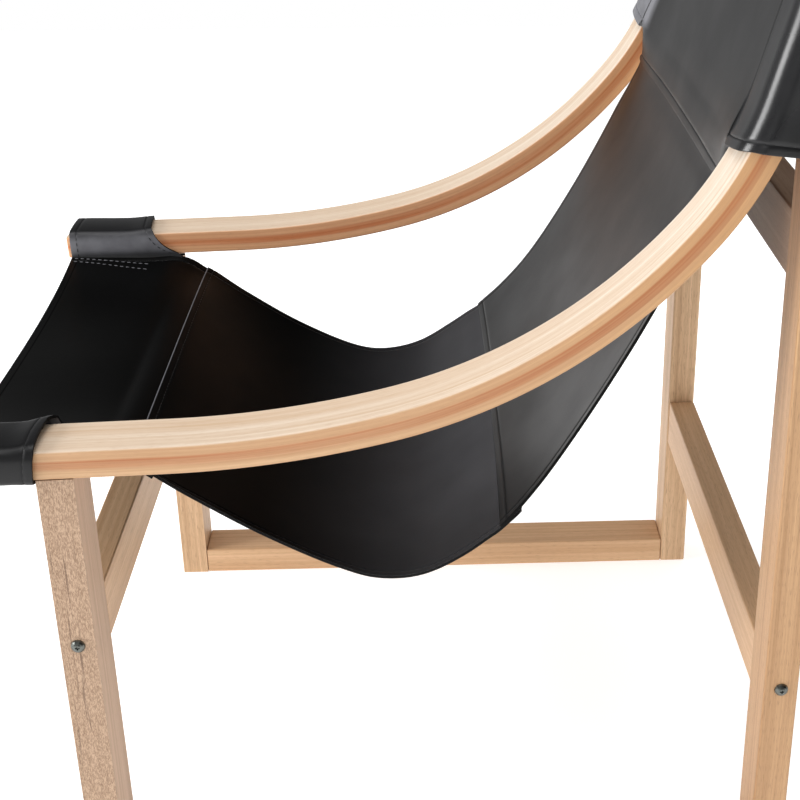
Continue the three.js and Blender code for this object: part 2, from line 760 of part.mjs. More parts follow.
// A panel, with a lap that follows the underside of the next panel row by row
function makePanel(panel, order) {
  const own = mainLengths(panel);
  const seam = lengthAtRow(panel.to);
  const lapEnd = seam + seamLap;
  const lap = [];
  if (panel.lapped) {
    const shared = mainLengths(panels[order + 1]).filter((length) => length < lapEnd - leatherGap);
    lap.push(seam - leatherGap, ...shared, lapEnd);
  }
  const half = leatherThickness / 2;
  const ring = (length, drop) => (
    [...sheetRow(length, drop - half), ...sheetRow(length, drop + half).reverse()]
  );
  const rings = [
    ...own.map((length) => ring(length, 0)),
    ...lap.map((length) => ring(length, leatherThickness + leatherGap)),
  ];
  addPiece(panel.name, loft(rings, 'strip'), leather);
}

sides.forEach(makeSide);
crossRails.forEach(makeCrossRail);
sides.forEach(loopBand);
sides.forEach(sleeveBand);
panels.forEach(makePanel);

// The origin lies on the floor under the middle of the chair
const reach = new THREE.Box3().setFromObject(chair);
chair.position.y = -(reach.min.y + reach.max.y) / 2;

export default chair;
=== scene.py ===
# %% [markdown]
# A low lounge chair: two bent ash rails on bolted ash frames carry one long sling of black
# leather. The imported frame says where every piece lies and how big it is, so the first step
# loads it. Everything after that is made round it, in metres, in the same place.

import math
from functools import lru_cache

import bmesh
import bpy
import numpy as np
from mathutils import Matrix, Vector, noise


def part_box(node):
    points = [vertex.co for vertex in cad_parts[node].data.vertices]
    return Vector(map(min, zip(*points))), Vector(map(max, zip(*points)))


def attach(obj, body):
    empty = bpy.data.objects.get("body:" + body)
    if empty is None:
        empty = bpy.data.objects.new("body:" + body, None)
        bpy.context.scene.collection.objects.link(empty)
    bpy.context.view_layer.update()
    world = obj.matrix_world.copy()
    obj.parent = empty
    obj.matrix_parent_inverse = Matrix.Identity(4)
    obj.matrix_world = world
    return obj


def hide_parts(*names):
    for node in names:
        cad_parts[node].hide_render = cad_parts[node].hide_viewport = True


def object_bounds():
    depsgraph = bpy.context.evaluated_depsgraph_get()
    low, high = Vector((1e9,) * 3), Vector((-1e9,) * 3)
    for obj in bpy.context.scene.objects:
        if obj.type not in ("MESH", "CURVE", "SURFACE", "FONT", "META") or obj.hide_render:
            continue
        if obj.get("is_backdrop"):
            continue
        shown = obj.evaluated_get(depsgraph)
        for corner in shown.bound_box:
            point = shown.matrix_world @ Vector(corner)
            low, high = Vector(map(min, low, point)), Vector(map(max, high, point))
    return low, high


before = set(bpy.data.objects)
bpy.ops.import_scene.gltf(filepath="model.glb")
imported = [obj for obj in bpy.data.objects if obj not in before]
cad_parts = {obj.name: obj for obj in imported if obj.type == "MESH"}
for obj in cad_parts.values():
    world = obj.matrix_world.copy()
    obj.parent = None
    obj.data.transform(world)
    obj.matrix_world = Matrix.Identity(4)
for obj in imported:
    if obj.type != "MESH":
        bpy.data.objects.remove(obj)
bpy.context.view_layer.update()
mm = 0.001
print("nodes in the frame:", len(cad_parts))

# %% [markdown]
# The camera comes first, because every later choice is judged through it. It stands at the
# sitter's left, 25 degrees above the level, and looks across the chair. The photograph is a
# crop, so its middle isn't where the lens points: the shift moves the picture, not the view.

# %% Camera
camera_place = (1.5637, 0.0537, 1.1040)
camera_view = (-0.9025, 0.04335, -0.4286)


def add_object(name, data):
    """Makes an object of some data and puts it in the scene."""
    made = bpy.data.objects.new(name, data)
    bpy.context.collection.objects.link(made)
    return made


camera_data = bpy.data.cameras.new("camera")
camera_data.sensor_width = 36
camera_data.lens = 66.5
camera_data.shift_x = -0.1236
camera_data.shift_y = 0.0318
camera = add_object("camera", camera_data)
camera.location = camera_place
camera.rotation_euler = Vector(camera_view).to_track_quat("-Z", "Y").to_euler()
bpy.context.scene.camera = camera
print("camera", [round(v, 3) for v in camera.location])

# %% [markdown]
# Finishes are made of shader nodes, and small helpers keep them short. The first four turn a
# colour written as hex into the values that Blender works in, fill a node's inputs, add a node,
# and start a material whose shader the other nodes then feed. The last four make the nodes that
# come back in every finish: a mix of two colours, a ramp, a sum and a noise drawn out one way.

# %% Helpers for finishes
def linear(hex_colour):
    """A colour written as sRGB hex, as the linear values that Blender works in."""
    parts = [int(hex_colour[k:k + 2], 16) / 255 for k in (1, 3, 5)]
    return [p / 12.92 if p <= 0.04045 else ((p + 0.055) / 1.055) ** 2.4 for p in parts] + [1]


def set_inputs(tree, node, inputs):
    """Sets a node's inputs to values or hex colours, or links a socket or a node's output."""
    for key, value in inputs.items():
        if isinstance(value, bpy.types.Node):
            value = next(socket for socket in value.outputs if socket.enabled)
        if isinstance(value, bpy.types.NodeSocket):
            tree.links.new(value, node.inputs[key])
        else:
            is_colour = isinstance(value, str)
            node.inputs[key].default_value = linear(value) if is_colour else value


def add_node(tree, kind, inputs=None, **settings):
    """Adds a shader node with its settings, input values and links."""
    made = tree.nodes.new(kind)
    for key, value in settings.items():
        setattr(made, key, value)
    set_inputs(tree, made, inputs or {})
    return made


def new_material(name):
    """An empty material, its node tree and a Principled shader that ends it."""
    material = bpy.data.materials.new(name)
    material.use_nodes = True
    tree = material.node_tree
    tree.nodes.clear()
    shader = add_node(tree, "ShaderNodeBsdfPrincipled")
    add_node(tree, "ShaderNodeOutputMaterial", {"Surface": shader})
    return material, tree, shader


def mix(tree, share, first, second, **settings):
    """A colour that lies between two by a share."""
    inputs = {0: share, 6: first, 7: second}
    return add_node(tree, "ShaderNodeMix", inputs, data_type="RGBA", **settings)


def ramp(tree, value, low, high, to_low=0.0, to_high=1.0, **settings):
    """A value brought from one range to another, and held at its ends."""
    return add_node(tree, "ShaderNodeMapRange", {
        "Value": value, "From Min": low, "From Max": high, "To Min": to_low, "To Max": to_high,
    }, **settings)


def maths(tree, operation, *values):
    """A sum, a product or another operation on values."""
    return add_node(tree, "ShaderNodeMath", dict(enumerate(values)), operation=operation)


def drawn_noise(tree, place, scale, turn=0, **inputs):
    """Noise drawn out along the axis with the smallest scale, and turned by some degrees."""
    drawn = add_node(tree, "ShaderNodeMapping", {
        "Vector": place, "Rotation": (0, 0, math.radians(turn)), "Scale": scale,
    })
    return add_node(tree, "ShaderNodeTexNoise", {"Vector": drawn, "Scale": 1.0, **inputs})


print("helpers for finishes")

# %% [markdown]
# The studio's floor is a sheet of matt white paper, far larger than the chair. It glows a
# little, as an overlit studio floor does, so the chair's shadow stays pale.

# %% Floor
paper, tree, shader = new_material("matt_studio_paper")
set_inputs(tree, shader, {
    "Base Color": "#F4F4F4", "Roughness": 0.9,
    "Emission Color": "#FFFFFF", "Emission Strength": 0.5,
})

floor_size = 4.5
bm = bmesh.new()
bmesh.ops.create_grid(bm, x_segments=1, y_segments=1, size=floor_size)
floor_mesh = bpy.data.meshes.new("studio_floor")
bm.to_mesh(floor_mesh)
bm.free()
floor = add_object("studio_floor", floor_mesh)
floor.data.materials.append(paper)
floor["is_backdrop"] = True
print("floor of", floor_size * 2, "m")

# %% [markdown]
# Black leather shows what stands round it rather than its own colour, so the room is made for
# its mirror image. The camera sees white, the wood is lit evenly, and a mirror sees a dark room
# with one low pale wall in front of the chair. That gives the deep seat and the grey back. A
# plain white world would turn all the leather grey.

# %% Room
world = bpy.data.worlds.new("studio_room")
bpy.context.scene.world = world
world.use_nodes = True
room = world.node_tree
room.nodes.clear()
path = add_node(room, "ShaderNodeLightPath")
seen = add_node(room, "ShaderNodeBackground", {"Strength": 1.0})
lit = add_node(room, "ShaderNodeBackground", {"Strength": 0.65})
look = add_node(room, "ShaderNodeTexCoord").outputs["Generated"]
look = add_node(room, "ShaderNodeSeparateXYZ", {0: look})
low_wall = ramp(room, look.outputs[2], 0.46, 0.14, interpolation_type="SMOOTHSTEP")
front_wall = ramp(room, look.outputs[1], 0.15, -0.35, interpolation_type="SMOOTHSTEP")
pale_wall = maths(room, "MULTIPLY", low_wall, front_wall)
wall_strength, dark_strength = 0.42, 0.02
wall_light = maths(room, "MULTIPLY_ADD", pale_wall, wall_strength, dark_strength)
mirrored = add_node(room, "ShaderNodeBackground", {"Strength": wall_light})
unseen = add_node(room, "ShaderNodeMixShader", {
    0: path.outputs["Is Glossy Ray"], 1: lit, 2: mirrored,
})
mixed = add_node(room, "ShaderNodeMixShader", {
    0: path.outputs["Is Camera Ray"], 1: unseen, 2: seen,
})
add_node(room, "ShaderNodeOutputWorld", {"Surface": mixed})
for background in (seen, lit, mirrored):
    set_inputs(room, background, {"Color": "#FFFFFF"})
print("room with", len(room.nodes), "nodes")

# %% [markdown]
# Soft studio light comes from large square lamps. The bigger a lamp, the softer its shadow. One
# hangs above, one stands in front, and a weak one beside the camera opens the darkest sides.

# %% Lights
def soft_light(name, place, target, size, watts):
    """A square area light that looks at a target."""
    data = bpy.data.lights.new(name, "AREA")
    data.size = size
    data.energy = watts
    light = add_object(name, data)
    light.location = place
    aim = Vector(target) - Vector(place)
    light.rotation_euler = aim.to_track_quat("-Z", "Y").to_euler()


soft_light("ceiling_light", (0.6, -0.8, 4.2), (0, 0, 0.3), size=3.0, watts=78)
soft_light("front_light", (0.7, -3.8, 1.7), (0, 0, 0.5), size=1.6, watts=118)
soft_light("side_light", (3.6, -0.6, 1.9), (0, 0, 0.5), size=1.4, watts=6)
bpy.context.scene.view_settings.view_transform = "Standard"
print(len(bpy.data.lights), "lights")

# %% [markdown]
# Sizes come next. The frame gives most of them as the boxes of its nodes. The bent rail's line
# is a straight and three arcs of falling radius, which no box tells, so its values are written
# here in millimetres. Lengths along Y are measured back from the front legs' front face.

# %% Sizes
leg_low, leg_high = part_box("front_leg_left")
rail_low, rail_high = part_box("side_rail_left")
front_face = leg_low[1]
outer_face = leg_high[0] / mm
rail_width = (rail_high[0] - rail_low[0]) / mm
rail_inner = outer_face - rail_width
rail_middle = outer_face - rail_width / 2
rail_top = rail_high[2] / mm
rail_thickness = 28.2
half_rail = rail_thickness / 2
rail_tip = (-105.5, 492.36)
rail_slope = math.radians(1.61)
bend_start = (114.69, 498.55)
rail_bends = ((998, 11.9, 24), (530, 36.8, 62), (321, 23.7, 46))
rear_leg_back = 724.5
sides = (("left", 1), ("right", -1))


def spot(x, back, height):
    """A point from millimetres: across, back from the front face, and up."""
    return Vector((x * mm, front_face + back * mm, height * mm))


print("rail", round(rail_width, 1), "by", rail_thickness, "mm")

# %% [markdown]
# The rail's centre line is also worked out as points, from the same values. The wood's grain and
# the leather that lies on the rail both follow it. Each point knows how far along it lies and
# which way its upper face looks.

# %% Rail line
def rail_line():
    """Rows of (back, height, angle) along the rail's centre line, and the length so far."""
    rows = [(*rail_tip, rail_slope), (*bend_start, rail_slope)]
    back, height, angle = rows[-1]
    for radius, turn, steps in rail_bends:
        middle_back = back - radius * math.sin(angle)
        middle_height = height + radius * math.cos(angle)
        for step in range(1, steps + 1):
            at = angle + math.radians(turn) * step / steps
            back = middle_back + radius * math.sin(at)
            height = middle_height - radius * math.cos(at)
            rows.append((back, height, at))
        angle = rows[-1][2]
    top = rail_top - half_rail * math.cos(angle)
    rest = (top - height) / math.sin(angle)
    rows.append((back + rest * math.cos(angle), top, angle))
    rows = np.array(rows)
    steps = np.hypot(*np.diff(rows[:, :2], axis=0).T)
    return rows, np.concatenate([[0], np.cumsum(steps)])


rail_rows, rail_lengths = rail_line()


def rail_face(offset, height):
    """How far back a face of the rail lies at a height; the offset is above the centre line."""
    face_back = rail_rows[:, 0] - offset * np.sin(rail_rows[:, 2])
    face_height = rail_rows[:, 1] + offset * np.cos(rail_rows[:, 2])
    return float(np.interp(height, face_height, face_back))


def rail_underside(back):
    """Height of the rail's underside along its straight front part."""
    rise = (back - rail_tip[0]) * math.tan(rail_slope)
    return rail_tip[1] + rise - half_rail / math.cos(rail_slope)


print("rail line", len(rail_rows), "points,", round(rail_lengths[-1]), "mm long")

# %% [markdown]
# Every wooden piece needs its own grain. The piece carries a vector attribute that says, for
# each point, how far it lies along the grain and to either side of it. On a bent rail that
# vector bends with the wood, as the layers of the real lamination do, which Object coordinates
# couldn't do. A shift for each piece keeps two pieces from showing the same figure.

# %% Helpers for pieces
def add_piece(name, bm, material):
    """Makes an object of a mesh under way, gives it a finish and lets it ride on the frame."""
    mesh = bpy.data.meshes.new(name)
    bm.to_mesh(mesh)
    bm.free()
    mesh.shade_smooth()
    piece = add_object(name, mesh)
    mesh.materials.append(material)
    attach(piece, "root")
    return piece


def give_grain(piece, grain_of, shift):
    """Stores the grain vector of every point of a piece."""
    layer = piece.data.attributes.new("grain", "FLOAT_VECTOR", "POINT")
    for k, vertex in enumerate(piece.data.vertices):
        layer.data[k].vector = Vector(grain_of(vertex.co)) + Vector(shift)


def even_shading(piece):
    """Keeps broad faces flat in shading beside their rounded edges."""
    weighted = piece.modifiers.new("weighted_normals", "WEIGHTED_NORMAL")
    weighted.keep_sharp = True


def round_edges(bm, radius, segments=3, sharper_than=50):
    """Bevels every edge that turns by more than an angle."""
    limit = math.radians(sharper_than)
    edges = [e for e in bm.edges if e.is_manifold and e.calc_face_angle(0) > limit]
    bmesh.ops.bevel(
        bm, geom=edges, offset=radius * mm, offset_type="OFFSET", segments=segments,
        profile=0.5, affect="EDGES", material=-1, clamp_overlap=True,
    )


def only(kind, geom):
    """The vertices, edges or faces among the elements that an operator returns."""
    return [item for item in geom if isinstance(item, kind)]


print("helpers for pieces, riding on the root")

# %% [markdown]
# Ash is a pale, open-pored wood with a strong lengthwise figure. Planed and oiled, it keeps a
# satin surface in which the pores stay as short dark dashes. The figure is a noise drawn out
# along the grain, in bands several millimetres wide. The pores are a finer noise, 0.7 mm wide
# and 12 mm long, cut off to thin dashes, and they dent the surface a little.

# %% Ash
def ash_colour(tree, grain, light, dark, pore, band_width, pore_share):
    """Colour of planed ash and the depth of its pores, from a grain vector."""
    band = 1 / (band_width * mm)
    wander = drawn_noise(tree, grain, (2.5, 14, 14))
    bent = add_node(tree, "ShaderNodeVectorMath", {
        0: wander.outputs["Color"], 1: (0.0, 0.01, 0.01), 2: grain,
    }, operation="MULTIPLY_ADD")
    figure = drawn_noise(tree, bent, (1.1, band, band), Detail=5.0, Roughness=0.68)
    tone = ramp(tree, figure, 0.33, 0.67)
    wood = mix(tree, tone, dark, light)
    dashes = drawn_noise(tree, grain, (85, 1400, 1400))
    pores = ramp(tree, dashes, 0.55, 0.7, to_high=pore_share)
    return mix(tree, pores, wood, pore), pores


def ash(name, tones, band_width, pore_share, roughness=0.5):
    """Planed and oiled ash with one even figure, from its light, dark and pore tones."""
    material, tree, shader = new_material(name)
    grain = add_node(tree, "ShaderNodeAttribute", attribute_name="grain").outputs["Vector"]
    colour, pores = ash_colour(tree, grain, *tones, band_width, pore_share)
    dent = add_node(tree, "ShaderNodeBump", {
        "Height": pores, "Strength": 0.35, "Distance": 0.3 * mm,
    }, invert=True)
    set_inputs(tree, shader, {
        "Base Color": colour, "Normal": dent, "Roughness": roughness, "IOR": 1.45,
    })
    return material


rear_leg_ash = ash(
    "planed_oiled_ash_rear_leg", ("#CDA47A", "#AC835C", "#7E5C40"), 5.0, 0.5,
)
# The far legs' lighter copy of this ash is painted light, for the shade that falls on their inner
# faces.
far_leg_ash_painted_light = ash(
    "planed_oiled_ash_far_legs_painted_light", ("#E0BC95", "#BE9872", "#8A6748"), 5.0, 0.5,
)
bar_ash = ash(
    "planed_oiled_ash_bars", ("#E0BA92", "#C79C73", "#967050"), 7.0, 0.35,
)
# The upper back rail takes a darker copy of the bars' ash: painted shade, for the shade that the
# leather casts on its front.
upper_rail_ash_painted_shade = ash(
    "oiled_ash_upper_rail_painted_shade", ("#A1836A", "#866750", "#5C4433"), 7.0, 0.4, 0.55,
)
print("ash for", [m.name for m in (rear_leg_ash, far_leg_ash_painted_light, bar_ash, upper_rail_ash_painted_shade)])

# %% [markdown]
# The near front leg is a crown-cut board. Its outer face shows short wavy flecks, light on a
# greyer brown, like fish scales, with a few long dark checks that run a little askew. Two
# stretched noises give both. The place across keeps them to the outer face.

# %% Flecked front leg
flecked_ash, tree, shader = new_material("flecked_oiled_ash_front_leg")
grain = add_node(tree, "ShaderNodeAttribute", attribute_name="grain").outputs["Vector"]
colour, _ = ash_colour(tree, grain, "#D2B093", "#B79577", "#8A6A50", 6.0, 0.3)
place = add_node(tree, "ShaderNodeTexCoord").outputs["Object"]
where = add_node(tree, "ShaderNodeSeparateXYZ", {0: place})
outside = ramp(tree, where.outputs[0], (outer_face - 1.6) * mm, (outer_face - 0.8) * mm)
scales = drawn_noise(tree, grain, (300, 1200, 1200), turn=20, Detail=2.0, Distortion=0.8)
scale_tone = ramp(tree, scales, 0.43, 0.57)
flecks = mix(tree, scale_tone, "#765B46", "#BEA288")
fleck_share = maths(tree, "MULTIPLY", outside, 0.65)
flecked = mix(tree, fleck_share, colour, flecks)
checks = drawn_noise(tree, grain, (14, 420, 420), turn=7)
check_share = ramp(tree, checks, 0.64, 0.7, to_high=0.6)
outer_checks = maths(tree, "MULTIPLY", check_share, outside)
checked = mix(tree, outer_checks, flecked, "#5E4433")
scale_height = maths(tree, "MULTIPLY", scales, outside)
dent = add_node(tree, "ShaderNodeBump", {
    "Height": scale_height, "Strength": 0.3, "Distance": 0.25 * mm,
})
set_inputs(tree, shader, {"Base Color": checked, "Normal": dent, "Roughness": 0.55, "IOR": 1.45})
leg_finishes = {"front_left": flecked_ash, "rear_left": rear_leg_ash}
print("near legs:", [finish.name for finish in leg_finishes.values()])

# %% [markdown]
# The rails are three thick layers of ash, glued together in a mould and planed. Their side shows
# the layers as bands, the middle one redder in long streaks that fade out at its borders. Their
# top shows the face of one layer with straight stripes, painted paler: partly its own paler
# wood, partly painted sheen for the strong light from above. The third part of the grain
# vector tells the layers apart, and each layer reads its figure from another place.

# %% Laminated rail finish
layer_thickness = 9.4


def laminated_ash(name, light_side, rear_side, dark_side):
    """Three glued layers of ash; the far rail's copy is lighter, painted light for its shaded
    side.
    """
    material, tree, shader = new_material(name)
    grain = add_node(tree, "ShaderNodeAttribute", attribute_name="grain").outputs["Vector"]
    parts = add_node(tree, "ShaderNodeSeparateXYZ", {0: grain})
    layer = maths(tree, "MULTIPLY", parts.outputs[2], 1 / (layer_thickness * mm))
    layer_number = maths(tree, "ADD", layer, 0.5)
    whole = maths(tree, "FLOOR", layer_number)
    apart = add_node(tree, "ShaderNodeCombineXYZ", {1: whole})
    own_grain = add_node(tree, "ShaderNodeVectorMath", {
        0: apart, 1: (0.0, 0.37, 0.0), 2: grain,
    }, operation="MULTIPLY_ADD")
    edge_tone = ramp(tree, parts.outputs[2], 12.4 * mm, 13.9 * mm)
    place = add_node(tree, "ShaderNodeTexCoord").outputs["Object"]
    where = add_node(tree, "ShaderNodeSeparateXYZ", {0: place})
    rearward = ramp(tree, where.outputs[2], 0.52, 0.7)
    pale_side = mix(tree, rearward, light_side, rear_side)
    # The top's paler tones are partly the wood's own, partly painted sheen for the light from
    # above.
    pale_top = mix(tree, rearward, "#D8C6B2", "#DFD4C6")
    pale = mix(tree, edge_tone, pale_side, pale_top)
    dull = mix(tree, edge_tone, dark_side, "#C6AA8D")
    colour, pores = ash_colour(tree, own_grain, pale, dull, "#A88460", 6.0, 0.3)
    off_middle = maths(tree, "ABSOLUTE", parts.outputs[2])
    streaks = drawn_noise(tree, grain, (3, 300, 300))
    redness = ramp(tree, streaks, 0.35, 0.65, 0.4, 0.95)
    middle_layer = ramp(tree, off_middle, 3.4 * mm, 5.4 * mm, redness, 0.0)
    layered = mix(tree, middle_layer, colour, "#E2B294", blend_type="MULTIPLY")
    dent = add_node(tree, "ShaderNodeBump", {
        "Height": pores, "Strength": 0.25, "Distance": 0.3 * mm,
    }, invert=True)
    set_inputs(tree, shader, {
        "Base Color": layered, "Normal": dent, "Roughness": 0.48, "IOR": 1.45,
    })
    return material


# The far rail's finish is a lighter copy: painted light, for the shade that the sling casts on its
# inner side.
rail_finishes = {
    "left": laminated_ash("laminated_oiled_ash", "#D0AA83", "#CC9D6C", "#BA8E66"),
    "right": laminated_ash("laminated_ash_painted_light", "#E8B388", "#E4AA76", "#D0966B"),
}
print("rails:", [finish.name for finish in rail_finishes.values()])

# %% [markdown]
# A rail starts as one rectangle at its front tip. It is extruded along the straight, spun round
# each bend's middle and extruded again to the top, so the section never changes. Then its long
# edges are rounded as a spokeshave leaves them.

# %% Side rails
eased_edge = 2.2


def pull(bm, faces, move):
    """Extrudes faces and moves the new end; returns the new end's faces."""
    made = bmesh.ops.extrude_face_region(bm, geom=faces)["geom"]
    bmesh.ops.translate(bm, verts=only(bmesh.types.BMVert, made), vec=move)
    return only(bmesh.types.BMFace, made)


def rail_grain(sign):
    """Grain vector on a rail: along its line, across it and off its centre line."""
    def grain_of(place):
        here = np.array([(place.y - front_face) / mm, place.z / mm])
        start, end = rail_rows[:-1, :2], rail_rows[1:, :2]
        step = end - start
        share = np.clip(np.sum((here - start) * step, 1) / np.sum(step * step, 1), 0, 1)
        near = start + step * share[:, None]
        k = int(np.argmin(np.hypot(*(here - near).T)))
        along = rail_lengths[k] + share[k] * math.hypot(*step[k])
        angle = rail_rows[k, 2] + (rail_rows[k + 1, 2] - rail_rows[k, 2]) * share[k]
        off = (here - near[k]) @ np.array([-math.sin(angle), math.cos(angle)])
        return along * mm, place.x - sign * rail_middle * mm, off * mm
    return grain_of


for side, sign in sides:
    bm = bmesh.new()
    bmesh.ops.create_grid(bm, x_segments=1, y_segments=1, size=0.5)
    upright = Matrix.Rotation(math.pi / 2 + rail_slope, 4, "X")
    size = Matrix.Diagonal((rail_width * mm, rail_thickness * mm, 1, 1))
    start = Matrix.Translation(spot(sign * rail_middle, *rail_tip))
    bmesh.ops.transform(bm, matrix=start @ upright @ size, verts=bm.verts[:])
    straight = spot(0, *bend_start) - spot(0, *rail_tip)
    end = pull(bm, bm.faces[:], straight)
    back, height, angle = *bend_start, rail_slope
    for radius, turn, steps in rail_bends:
        middle = spot(0, back - radius * math.sin(angle), height + radius * math.cos(angle))
        geom = end + [e for f in end for e in f.edges] + [v for f in end for v in f.verts]
        spun = bmesh.ops.spin(
            bm, geom=geom, cent=middle, axis=(1, 0, 0), dvec=(0, 0, 0),
            angle=math.radians(turn), steps=steps, use_merge=False, use_duplicate=False,
        )
        end = only(bmesh.types.BMFace, spun["geom_last"])
        back += radius * (math.sin(angle + math.radians(turn)) - math.sin(angle))
        height -= radius * (math.cos(angle + math.radians(turn)) - math.cos(angle))
        angle += math.radians(turn)
    end = pull(bm, end, spot(0, *rail_rows[-1, :2]) - spot(0, *rail_rows[-2, :2]))
    bmesh.ops.recalc_face_normals(bm, faces=bm.faces[:])
    round_edges(bm, eased_edge)
    name = f"bent_rail_{side}"
    rail = add_piece(name, bm, rail_finishes[side])
    give_grain(rail, rail_grain(sign), (0.31 * sign, 0, 0))
    even_shading(rail)
    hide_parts(f"side_rail_{side}")
    print(name, len(rail.data.polygons), "faces, tip", [round(c, 3) for c in rail.bound_box[0]])

# %% [markdown]
# Legs, floor runners and cross rails are straight planed bars. Each starts as a cube brought to
# size. A slice slopes a leg's top, and round bores in a cross rail's underside give way to the
# barrel nuts. The edges are rounded last but for the bores, which stay crisp, as a drill cuts.

# %% Helpers for bars
def bar(low, high):
    """A cube brought to the box between two corners, as a mesh under way."""
    bm = bmesh.new()
    bmesh.ops.create_cube(bm, size=1)
    span = Vector(high) - Vector(low)
    middle = (Vector(high) + Vector(low)) / 2
    place = Matrix.Translation(middle) @ Matrix.Diagonal((*span, 1))
    bmesh.ops.transform(bm, matrix=place, verts=bm.verts[:])
    return bm


def slice_off(bm, point, direction):
    """Cuts away what lies beyond a plane and closes the cut."""
    geom = bm.verts[:] + bm.edges[:] + bm.faces[:]
    cut = bmesh.ops.bisect_plane(
        bm, geom=geom, plane_co=point, plane_no=direction, clear_outer=True,
    )["geom_cut"]
    bmesh.ops.contextual_create(bm, geom=only(bmesh.types.BMEdge, cut))


def bore_underside(bm, places, radius, depth):
    """Opens round bores in the underside of a bar."""
    under = min(bm.faces, key=lambda face: face.normal.z * face.calc_area())
    rim = list(under.edges)
    level = under.calc_center_median().z
    bmesh.ops.delete(bm, geom=[under], context="FACES_ONLY")
    mouths = []
    for place in places:
        at = Matrix.Translation((place[0], place[1], level))
        ring = bmesh.ops.create_circle(bm, segments=28, radius=radius, matrix=at)["verts"]
        mouths.append({edge for vertex in ring for edge in vertex.link_edges})
    bmesh.ops.triangle_fill(bm, edges=rim + [e for mouth in mouths for e in mouth])
    for mouth in mouths:
        walls = bmesh.ops.extrude_edge_only(bm, edges=list(mouth))["geom"]
        bmesh.ops.translate(bm, verts=only(bmesh.types.BMVert, walls), vec=(0, 0, depth))
        top = [e for e in only(bmesh.types.BMEdge, walls) if e.is_boundary]
        bmesh.ops.contextual_create(bm, geom=top)
    bmesh.ops.recalc_face_normals(bm, faces=bm.faces[:])


def finish_bar(name, node, bm, material, order, shift, bores=()):
    """Rounds a bar, gives it grain along one axis and puts it in its node's place."""
    bmesh.ops.recalc_face_normals(bm, faces=bm.faces[:])
    round_edges(bm, eased_edge, sharper_than=20)
    if bores:
        bore_underside(bm, *bores)
    piece = add_piece(name, bm, material)
    give_grain(piece, lambda p: [p[k] for k in order], shift)
    even_shading(piece)
    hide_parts(node)
    return piece


print("helpers for bars")

# %% [markdown]
# Each bar takes its size from its node's box. The front leg's top follows the rail's underside,
# with a glue gap between them. The rear leg's top slopes as the rail's back does, because the
# rail lies in a shoulder there. The grain runs along each bar, whichever way it lies.

# %% Bars of the frame
glue_gap = 0.3
nut_bore = 6.3
slope_height = 900
upright_grain = (2, 0, 1)
lengthwise_grain = (1, 0, 2)
crosswise_grain = (0, 2, 1)
rear_slope = rail_rows[-1, 2]
leg_tops = {
    "front": (spot(0, 0, rail_underside(0) - glue_gap), rail_slope, 0.2, 0.4),
    "rear": (spot(0, rail_face(-half_rail, slope_height) + glue_gap, slope_height),
             rear_slope, 0.3, 0.9),
}
for side, sign in sides:
    for end, (point, slope, shift_along, shift_across) in leg_tops.items():
        bm = bar(*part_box(f"{end}_leg_{side}"))
        slice_off(bm, point, (0, -math.sin(slope), math.cos(slope)))
        finish = leg_finishes.get(f"{end}_{side}", far_leg_ash_painted_light)
        finish_bar(f"{end}_upright_{side}", f"{end}_leg_{side}", bm, finish, upright_grain,
                   (shift_along * sign, shift_across, 0))
    node = f"floor_runner_{side}"
    finish_bar(f"runner_{side}", node, bar(*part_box(node)), bar_ash, lengthwise_grain,
               (0.1 * sign, 0.5, 0))

for order, node in enumerate(("front_stretcher", "rear_stretcher", "upper_back_rail")):
    low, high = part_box(node)
    nuts = [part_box(f"{node}_nut_{side}") for side, _ in sides]
    mouths = [((a.x + b.x) / 2, (a.y + b.y) / 2) for a, b in nuts]
    finish = upper_rail_ash_painted_shade if node == "upper_back_rail" else bar_ash
    bores = (mouths, nut_bore * mm, nuts[0][1].z - low.z + glue_gap * mm)
    finish_bar(f"{node}_bar", node, bar(low, high), finish, crosswise_grain,
               (order * 0.7, 0, 0), bores)

# %% [markdown]
# The sling is one long sheet of 3 mm hide in four panels. Its side edges hang from the rails in
# a curve that is known at a few places, read from the photograph: each row gives the share of
# the way back and down or up, the share of the usual width, and how far the middle sags below
# the edges. A spline through the rows gives the whole line, as a bent batten would.

# %% Hanging line of the sling
hide = 3.0
play = 0.3
half_hide = hide / 2
half_width = rail_inner - 2 * play - hide
loop_front = -100.0
hang_height = rail_underside(0) - play - half_hide
low_point = (305.0, 339.0)
hem_height = 768.0
sleeve_top = 963.0
usual_sag = 10.0
fall_rows = (
    (0, 0, 1, 1.6), (0.247, 0, 1, 2.1), (0.351, 0.005, 1, 2.6), (0.427, 0.112, 0.996, 1.3),
    (0.546, 0.359, 0.993, 1), (0.719, 0.681, 0.997, 0.9), (0.909, 0.95, 1.019, 0.8),
    (1, 1, 1.05, 0.7),
)
rise_rows = (
    (0.13, 0.016, 1.078, 0.7), (0.26, 0.07, 1.093, 0.6), (0.377, 0.137, 1.081, 0.5),
    (0.482, 0.22, 1.047, 0.5), (0.588, 0.325, 1.009, 0.5), (0.758, 0.536, 0.984, 0.5),
    (0.915, 0.765, 0.977, 0.6), (1.004, 0.907, 0.983, 0.7), (1, 1, 1, 0.9),
)
upper_sags = (1, 1, 0.9, 0.8)
panel_rows = (("front", 0, 3), ("seat", 3, 10), ("back", 10, 15), ("upper_back", 15, 20))
samples = 30


def sleeve_front(height):
    """How far back the middle of the leather lies on the rail's front face."""
    return rail_face(half_rail, height) - play - half_hide


def between(start, end, share):
    return start + (end - start) * share


